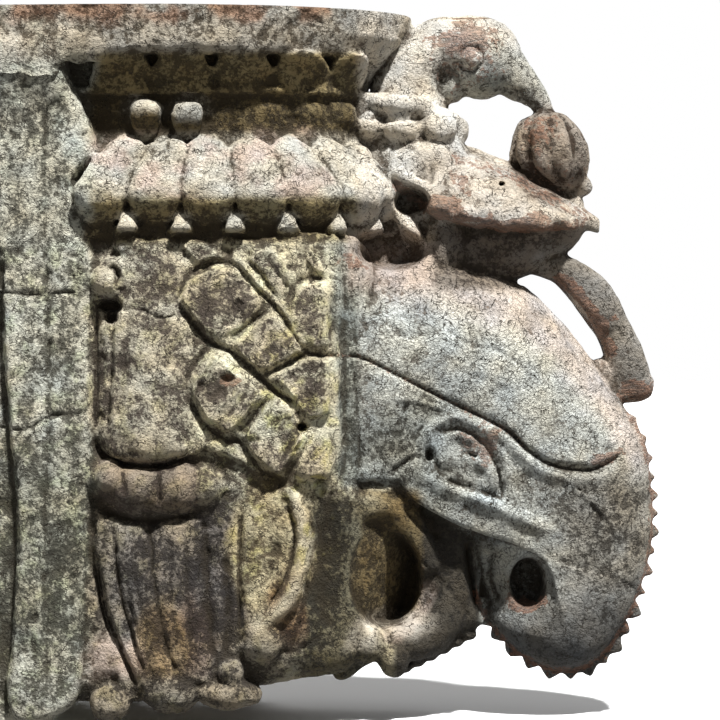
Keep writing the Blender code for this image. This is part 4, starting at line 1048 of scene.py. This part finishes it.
def painted(mesh):
    co, normals = arrays(mesh)
    u, v, depth = onPicture(co)
    points = np.stack([u, v], 1)
    warp = cloud(co, 40, 3, 5.0)
    warp2 = cloud(co, 30, 3, 6.0)
    pu, pv = u + warp * ageing["wander"], v + warp2 * ageing["wander"]
    loose = np.stack([pu, pv], 1)
    tone = np.tile(paints["stile"][0], (len(co), 1))
    stain = np.tile(paints["stile"][1], (len(co), 1))
    cover = np.full(len(co), paints["stile"][2])
    crackle = np.full(len(co), 0.35)

    def lay(name, mask, crackled=None):
        nonlocal tone, stain, cover, crackle
        m = np.clip(mask, 0, 1)
        tone = tone * (1 - m[:, None]) + paints[name][0] * m[:, None]
        stain = stain * (1 - m[:, None]) + paints[name][1] * m[:, None]
        cover = cover * (1 - m) + paints[name][2] * m
        if crackled is not None:
            crackle = crackle * (1 - m) + crackled * m

    # the stile and the capital
    right = ramp(pu, 84, 98)
    above = upTo(pv, 236, 246)
    # painted shade: the stile is painted darker over its lower part, where the light falls off
    lay("stileLowShade", ramp(pv, 420, 500) * upTo(pv, 620, 680))
    lay("slab", upTo(pv, 52, 66), 0.3)
    lay("slabEdge", upTo(pv, 12, 28) * ramp(warp, -0.3, 0.1))
    lay("recess", right * ramp(v, 49, 56) * upTo(pv, 128, 140), 0.15)
    # painted shade: the tabs under the slab are painted dark, for the slab's shadow over them
    lay("tabShade", right * ramp(v, 90, 96) * upTo(v, 138, 146), 0.15)
    # painted highlight: the tops of the two proud tabs are painted light, where the light catches them
    for u0 in (146, 188):
        lay("petal", spot(loose, u0, 108, 17, 10) * 0.9, 0.4)
    lay("petal", right * ramp(v, 128, 140) * above, 0.6)
    lay("petalPink", right * above * ramp(pv, 126, 138) * ramp(warp, 0.0, 0.5) * 0.7)
    # painted shade: the petals' noses and the fillet below are painted dark, for the shade under the petals
    lay("petalFrontShade", right * ramp(v, 192, 202) * upTo(v, 240, 250), 0.2)
    # painted highlight: light patches are painted between the petals' noses, where light falls between their
    # shadows
    for k in range(-2, 3):
        lay("petal", spot(points, 235 + 54 * k, 222, 11, 9) * 0.9, 0.4)
    # the body, its leg and the ear
    lay("harness", right * ramp(pv, 238, 250), 0.6)
    lay("thigh", right * ramp(pv, 240, 252) * upTo(pu, 176, 200) * upTo(pv, 500, 520), 0.5)
    lay("armlet", right * ramp(v, 456, 462) * upTo(v, 512, 520) * upTo(u, 196, 204))
    lay("leg", right * ramp(pv, 508, 522) * upTo(pu, 236, 262), 0.2)
    for name, cu, cv, ru, rv, share in legSpots:
        lay(name, spot(loose, cu, cv, ru, rv) * share)
    lay("leg", spot(points, 110, 706, 30, 18) * 0.9 + ramp(v, 672, 684) * upTo(u, 262, 280) * right)
    # painted shade: the skin right of the ear is painted dark, for the shade on this recessed part
    lay("skin", ramp(pu, 296, 308) * ramp(pv, 490, 506) * upTo(pu, 372, 400), 0.2)
    lay("ear", spot(loose, 268, 552, 36, 76, 0.3), 0.25)
    lay("leg", spot(loose, 262, 652, 34, 32) * 0.85)
    lay("rust", spot(loose, 288, 612, 18, 28) * 0.8)
    curl = spline([(296, 508), (306, 536), (304, 566), (288, 600), (262, 626)], 6, False)
    lay("rim", np.exp(-(nearLine(points, curl, 30) / 8) ** 2))
    plateMask = np.zeros(len(co))
    for outline in harnessPlates:
        edge = spline(outline, 4)
        within = inside(points, edge)
        away = np.where(within, toLine(points, edge, closed=True)[0], 0.0)
        plateMask = np.maximum(plateMask, ramp(away, 3, 11))
    lay("plate", plateMask * ramp(warp2, -0.45, 0.0))
    # the head, the trunk and the mouth
    headZone = ramp(u, 332, 340) * ramp(v, 238, 250) * np.maximum(upTo(v, 480, 490), ramp(u, 392, 404))
    bodyEnd = upTo(v, 480, 492)
    lay("mint", headZone, 0.9)
    lay("cheek", headZone * ramp(pv + 0.35 * (pu - 400), 386, 420) * upTo(pu, 420, 470), 0.7)
    lay("band", ramp(pu, 330, 342) * upTo(u, 354, 364) * ramp(v, 236, 250) * bodyEnd * 0.9, 0.5)
    lay("harness", ramp(pu, 318, 330) * upTo(pu, 334, 346) * ramp(v, 236, 250) * bodyEnd * 0.8, 0.3)
    ridge = np.interp(pu, [340, 430, 515, 557, 600, 631], [236, 248, 281, 317, 370, 420])
    lay("forehead", headZone * upTo(pv - ridge, 30, 74) * ramp(pu, 356, 372), 0.7)
    lay("trunk", ramp(pu, 520, 590) * ramp(pv, 440, 500) * 0.9, 0.55)
    # painted shade: the lower trunk is painted darker, for the shadow under the lip
    lay("trunkLowShade", ramp(pv, 560, 640) * ramp(pu, 474, 500) * 0.95, 0.3)
    lipAt = np.interp(u, [351, 397, 428, 479, 526, 544], [479, 482, 510, 533, 551, 562])
    # painted shade: the jaw under the upper lip is painted very dark, for the lip's shadow over it
    under = ramp(v - lipAt, 2, 8) * (depth < np.interp(u, [390, 480], [112, 88]))
    lay("jaw", under * ramp(u, 388, 398) * upTo(pu, 474, 486), 0.3)
    mouth = ramp(pu, 336, 350) * upTo(u, 416, 426) * ramp(v, 484, 494) * upTo(v, 618, 630)
    lay("hollow", mouth * upTo(depth, 88, 100), 0.15)
    lay("pink", nearBand(points, [(426, 590), (414, 616), (392, 634)], 13) * 0.6 * ramp(depth, 50, 60))
    lay("neck", spot(loose, 396, 624, 30, 14) * 0.45 + spot(loose, 362, 640, 18, 14) * 0.4)
    # the bird and the strut
    lay("neck", ramp(u, 352, 364) * upTo(v, 228, 240), 0.4)
    lay("pink", ramp(u, 340, 352) * ramp(v, 222, 236) * upTo(v, 280, 300) * upTo(u, 424, 440) * 0.7, 0.4)
    lay("wing", ramp(u, 400, 430) * ramp(v, 140, 160) * upTo(v, 224, 232), 0.5)
    # painted shade: the bird's underside is painted darker, for the shade under the wing
    lay("hull", ramp(u, 426, 440) * ramp(v, 222, 230) * upTo(v, 284, 296) * upTo(u, 584, 600), 0.3)
    lay("cheek", spot(loose, 516, 76, 36, 26) * 0.7 + spot(loose, 470, 84, 30, 14) * 0.6, 0.5)
    lay("bud", spot(points, 550, 154, 40, 46, 0.2), 0.2)
    lay("strut", nearBand(points, [(552, 262), (580, 276), (610, 310), (628, 350), (634, 392)], 26), 0.4)
    # bare wood on broken edges, teeth and chips
    rim = nearLine(points, spline(trunkEdge, 8, False), 40)
    brow = nearLine(points, spline(browLine, 6, False), 12)
    bare = np.maximum(ramp(-rim, -10, 1) * ageing["rimBare"], upTo(brow, 1, 5) * ageing["browBare"] * (v < 452))
    for cu, cv, ru, rv, share in bareSpots:
        bare = np.maximum(bare, spot(loose, cu, cv, ru, rv, 0.9) * share)
    for line, width, share in bareLines:
        bare = np.maximum(bare, nearBand(points, line, width) * share)
    # hollows gather dirt and are painted darker as painted shade, and proud edges lose their stain
    soft = eased(mesh, co, 5)
    broad = eased(mesh, soft, 45)
    proud = ((co - soft) * normals).sum(1) / step
    swell = ((co - broad) * normals).sum(1) / step
    bare = np.clip(bare + ramp(proud, 0.9, 1.8) * ageing["edgeBare"], 0, 1)
    dirt = np.clip(ramp(-swell, 0.4, 4.0) * 0.8 + ramp(-proud, 0.3, 1.3) * 0.6, 0, 1)
    wear = np.clip(ramp(swell, 0.6, 4.5), 0, 1)
    # the bud's grooves are painted dark: painted shade
    budAt = spot(points, 550, 152, 44, 46, 0.1)
    dirt = np.maximum(dirt, ramp(-proud, -0.1, 0.5) * 0.9 * budAt)
    # the saw's flats show weathered timber
    near, seat = ageing["flatNear"], place(0, 0, layout["top"])[2]
    flat = np.maximum(ramp(-normals[:, 0], 0.7, 0.9) * (co[:, 0] < near),
                      ramp(normals[:, 2], 0.7, 0.9) * (np.abs(co[:, 2] - seat) < near))
    lay("sawn", flat * 0.85, 0.3)
    share, spread = ageing["flatBare"]
    bare = np.clip(bare + flat * (share + spread * warp), 0, 1)
    dirt *= 1 - 0.6 * flat
    # uneven ageing, with upright streaks on the stile and yellow growth on the body
    patchy = cloud(co, ageing["patchSize"], 4, 8.0)
    streaks = cloud(co * np.array([1.0, 1.0, 0.16]), ageing["streakSize"], 3, 9.0)
    growth = ramp(cloud(co, ageing["growthSize"], 4, 10.0), 0.05, 0.5)
    beside = upTo(u, 84, 96)
    patchy *= 1 + ageing["bodyPatches"] * ramp(u, 92, 110) * upTo(u, 320, 340) * ramp(v, 250, 270)
    streaks *= beside
    tone *= np.clip(1 + ageing["patchTone"] * patchy + ageing["streakTone"] * streaks, 0.5, 1.25)[:, None]
    cover = np.clip(cover - ageing["patchStain"] * patchy - ageing["streakStain"] * streaks, 0, 1)
    tone[:, 0] *= 1 + ageing["warmer"] * warp2
    tone[:, 2] *= 1 - ageing["yellower"] * warp2
    least, harness, ear = ageing["growthYellow"]
    mossy = least + harness * spot(points, 312, 430, 60, 90) + ear * spot(points, 268, 520, 60, 60)
    tone[:, 2] *= 1 - mossy * growth * upTo(u, 330, 350) * ramp(v, 236, 260)
    tone[:, 0] *= 1 - 0.04 * growth * beside
    tone = np.clip(tone, 0.005, 0.8)
    for name, values in {"tone": tone, "stain": stain}.items():
        colour = mesh.color_attributes.new(name, "FLOAT_COLOR", "POINT")
        rows = np.concatenate([values, np.ones((len(co), 1))], 1)
        colour.data.foreach_set("color", rows.astype(np.float32).ravel())
    fields = {"cover": cover, "crackle": crackle, "bare": bare, "dirt": dirt, "wear": wear}
    for name, values in fields.items():
        field = mesh.attributes.new(name, "FLOAT", "POINT")
        field.data.foreach_set("value", values.astype(np.float32))


class Wire:
    # a socket that takes part in arithmetic, and that adds nodes to its tree
    def __init__(self, tree, socket=None):
        self.tree = tree
        self.socket = socket

    def node(self, kind, settings=None, values=None, out=0):
        made = self.tree.nodes.new("ShaderNode" + kind)
        for name, value in (settings or {}).items():
            setattr(made, name, value)
        for name, value in (values or {}).items():
            slot = made.inputs[name]
            if isinstance(value, Wire):
                self.tree.links.new(value.socket, slot)
            elif np.ndim(value) and len(slot.default_value) == 4:
                slot.default_value = (*value, 1)
            else:
                slot.default_value = value
        return Wire(self.tree, made.outputs[out] if made.outputs else None)

    def math(self, operation, first, second=0.0):
        return self.node("Math", {"operation": operation}, {0: first, 1: second})

    def __add__(self, other):
        return self.math("ADD", self, other)

    def __mul__(self, other):
        return self.math("MULTIPLY", self, other)

    def __sub__(self, other):
        return self.math("SUBTRACT", self, other)

    def __rsub__(self, other):
        return self.math("SUBTRACT", other, self)

    __radd__ = __add__
    __rmul__ = __mul__

    def size(self):
        return self.math("ABSOLUTE", self)

    def clamp(self):
        return self.node("Clamp", None, {"Value": self})


finish = {
    "mottleSize": 0.0044,
    "speckSize": 0.0018,
    "crackleSize": 0.0024,
    "veinSize": 0.0048,
    "splitSize": 0.016,
    "crackColour": rgb(56, 49, 38),
    # colour of the dirt specks, and of the dirt and painted shade in hollows
    "dirtAndShadeColour": rgb(50, 42, 28),
    "woodColour": rgb(152, 106, 80),
    "woodDark": rgb(76, 50, 38),
    "bump": 0.0024,
    "roughness": 0.78, "roughnessSpread": 0.16,
    "specular": 0.22,
}


def weatheredWood():
    material = bpy.data.materials.new("weathered_wood")
    material.use_nodes = True
    material.node_tree.nodes.clear()
    wire = Wire(material.node_tree)
    where = wire.node("TexCoord", out=3)

    def field(name, out=2):
        return wire.node("Attribute", {"attribute_name": name}, out=out)

    def clouds(size, detail, rough, stretch=(1, 1, 1), shift=0.0, out=0):
        moved = wire.node("Mapping", None, {"Vector": where, "Scale": stretch,
                                            "Location": (shift, shift * 0.7, shift * 1.3)})
        return wire.node("TexNoise", None, {"Vector": moved, "Scale": 1 / size, "Detail": detail,
                                            "Roughness": rough}, out)

    def band(value, low, high):
        return wire.node("MapRange", {"interpolation_type": "SMOOTHSTEP"},
                         {"Value": value, "From Min": low, "From Max": high})

    def blend(a, b, factor):
        return wire.node("Mix", {"data_type": "RGBA"}, {0: factor, 6: a, 7: b}, 2)

    tone, stain = field("tone", 0), field("stain", 0)
    cover, crackle, bare, dirt, wear = map(field, ("cover", "crackle", "bare", "dirt", "wear"))
    mottle = clouds(finish["mottleSize"], 5.0, 0.68)
    speck = clouds(finish["speckSize"], 3.0, 0.6, shift=0.77)
    # ragged stain, thinner on proud places and thicker in hollows, where it adds to their painted shade
    level = 0.50 + (cover - 0.5) * 0.42 - wear * 0.10 + dirt * 0.12
    stained = band(level - mottle + (speck - 0.5) * 0.4, -0.10, 0.08)
    colour = blend(tone, stain, stained * 0.9)
    # hollows and creases are darkened with the dirt colour: dirt that gathers there, and painted shade
    colour = blend(colour, finish["dirtAndShadeColour"], (dirt * (0.35 + 0.9 * mottle)).clamp() * 0.7)
    # fine net of cracks in the paint
    bent = wire.node("VectorMath", {"operation": "MULTIPLY_ADD"},
                     {0: clouds(0.009, 2.0, 0.5, shift=0.4, out=1), 1: (0.006, 0.006, 0.006), 2: where})
    net = wire.node("TexVoronoi", {"feature": "DISTANCE_TO_EDGE"},
                    {"Vector": bent, "Scale": 1 / finish["crackleSize"]})
    vein = wire.node("TexNoise", None, {"Vector": bent, "Scale": 1 / finish["veinSize"], "Detail": 2.0,
                                        "Roughness": 0.55})
    veins = 1 - band((vein - 0.5).size(), 0.004, 0.034)
    split = wire.node("TexNoise", None, {"Vector": bent, "Scale": 1 / finish["splitSize"], "Detail": 3.0,
                                         "Roughness": 0.6})
    splits = 1 - band((split - 0.5).size(), 0.002, 0.013)
    cracks = ((1 - band(net, 0.01, 0.10)) * 0.5 * band(mottle, 0.40, 0.56) + veins * 0.8).clamp() * crackle
    cracks = (cracks * 0.56 + splits * band(mottle, 0.36, 0.5) * 0.7).clamp()
    colour = blend(colour, finish["crackColour"], cracks)
    # bare reddish wood with its grain along the timber
    grain = clouds(0.0016, 3.0, 0.6, stretch=(0.14, 1, 1), shift=0.5)
    chipped = band(bare + (mottle - 0.5) * 1.1 + (speck - 0.5) * 0.3, 0.46, 0.56)
    wood = blend(finish["woodDark"], finish["woodColour"], band(grain, 0.34, 0.62))
    colour = blend(colour, blend(wood, tone, 0.25), chipped * 0.85)
    colour = blend(colour, finish["dirtAndShadeColour"], band(speck, 0.6, 0.74) * 0.4)
    # relief of the paint's flakes, the cracks and the grain
    height = mottle * 1.0 + speck * 0.7 - cracks * 0.8 - stained * 0.16 - chipped * 0.35 + grain * chipped * 0.6
    bump = wire.node("Bump", None, {"Height": height, "Distance": finish["bump"], "Strength": 1.0})
    rough = finish["roughness"] + finish["roughnessSpread"] * mottle
    shader = wire.node("BsdfPrincipled", None, {"Base Color": colour, "Roughness": rough, "Normal": bump,
                                                "Specular IOR Level": finish["specular"]})
    wire.node("OutputMaterial", None, {"Surface": shader})
    return material


make = {
    "voxel": 0.00165,
    "triangles": 186000,
    "sawCuts": 27,
    "sharpAngle": 60,
}


def makeCarving():
    clay = Clay()
    for addForms in (addStile, addCapital, addBody, addHead, addBird):
        addForms(clay)
    print("forms laid out:", len(clay.faces))
    mesh = fused(clay, make["voxel"])
    print("fused:", len(mesh.polygons))
    carve(mesh)
    item = added("carving", mesh)
    thin = item.modifiers.new("Thin", "DECIMATE")
    thin.ratio = min(1.0, make["triangles"] / (2 * len(mesh.polygons)))
    thin.use_collapse_triangulate = True
    settle(item)
    print("thinned:", len(item.data.polygons))
    sawn(item)
    item.data.shade_smooth()
    item.data.set_sharp_from_angle(angle=math.radians(make["sharpAngle"]))
    painted(item.data)
    item.data.materials.clear()
    item.data.materials.append(weatheredWood())
    print("carving finished:", len(item.data.polygons))
    return item


carving = makeCarving()
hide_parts("corbel")
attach(carving, "root")

studio = {
    "floorLevel": -0.2466,
    "floorSize": 60,
    "floorColour": rgb(246, 246, 246),
    "ambient": 0.23,
    "key": ((0.22, -0.43, 0.87), 3.5, 6.8),  # the way to the light, its spread in degrees and its strength
    "back": ((-0.15, 0.9, 0.42), 40.0, 1.1),
    "pictureWidth": 720.0,  # steps that the camera takes in at the middle plane
    "sensor": 36.0,
}


def makeStudio():
    bpy.ops.mesh.primitive_plane_add(size=studio["floorSize"], location=(0.3, 0, studio["floorLevel"]))
    floor = bpy.context.object
    floor.name = "floor"
    floor.visible_diffuse = False
    paint = bpy.data.materials.new("floor_paint")
    paint.use_nodes = True
    paint.node_tree.nodes.clear()
    wire = Wire(paint.node_tree)
    shader = wire.node("BsdfPrincipled", None, {"Base Color": studio["floorColour"], "Roughness": 0.9,
                                                "Specular IOR Level": 0.1})
    wire.node("OutputMaterial", None, {"Surface": shader})
    floor.data.materials.append(paint)
    world = bpy.data.worlds.new("studio")
    bpy.context.scene.world = world
    world.use_nodes = True
    world.node_tree.nodes.clear()
    wire = Wire(world.node_tree)
    seenByEye = wire.node("LightPath")  # the backdrop is white, its light on the carving is dim
    glow = studio["ambient"] + seenByEye * (1 - studio["ambient"])
    back = wire.node("Background", None, {"Color": (1, 1, 1), "Strength": glow})
    wire.node("OutputWorld", None, {"Surface": back})
    for name in ("key", "back"):
        way, spread, strength = studio[name]
        light = bpy.data.lights.new(name, "SUN")
        light.angle = math.radians(spread)
        light.energy = strength
        lamp = added(name, light)
        lamp.location = Vector(way) * 3
        lamp.rotation_euler = Vector(way).to_track_quat("Z", "Y").to_euler()
    camera = bpy.data.cameras.new("camera")
    camera.sensor_width = studio["sensor"]
    camera.lens = studio["sensor"] * eye / studio["pictureWidth"]
    view = added("camera", camera)
    view.location = ((middle - layout["wall"]) * step, -eye * step, 0)
    view.rotation_euler = (math.radians(90), 0, 0)
    bpy.context.scene.camera = view
    bpy.context.scene.view_settings.view_transform = "Standard"
    print("studio set")


makeStudio()
bpy.context.view_layer.update()
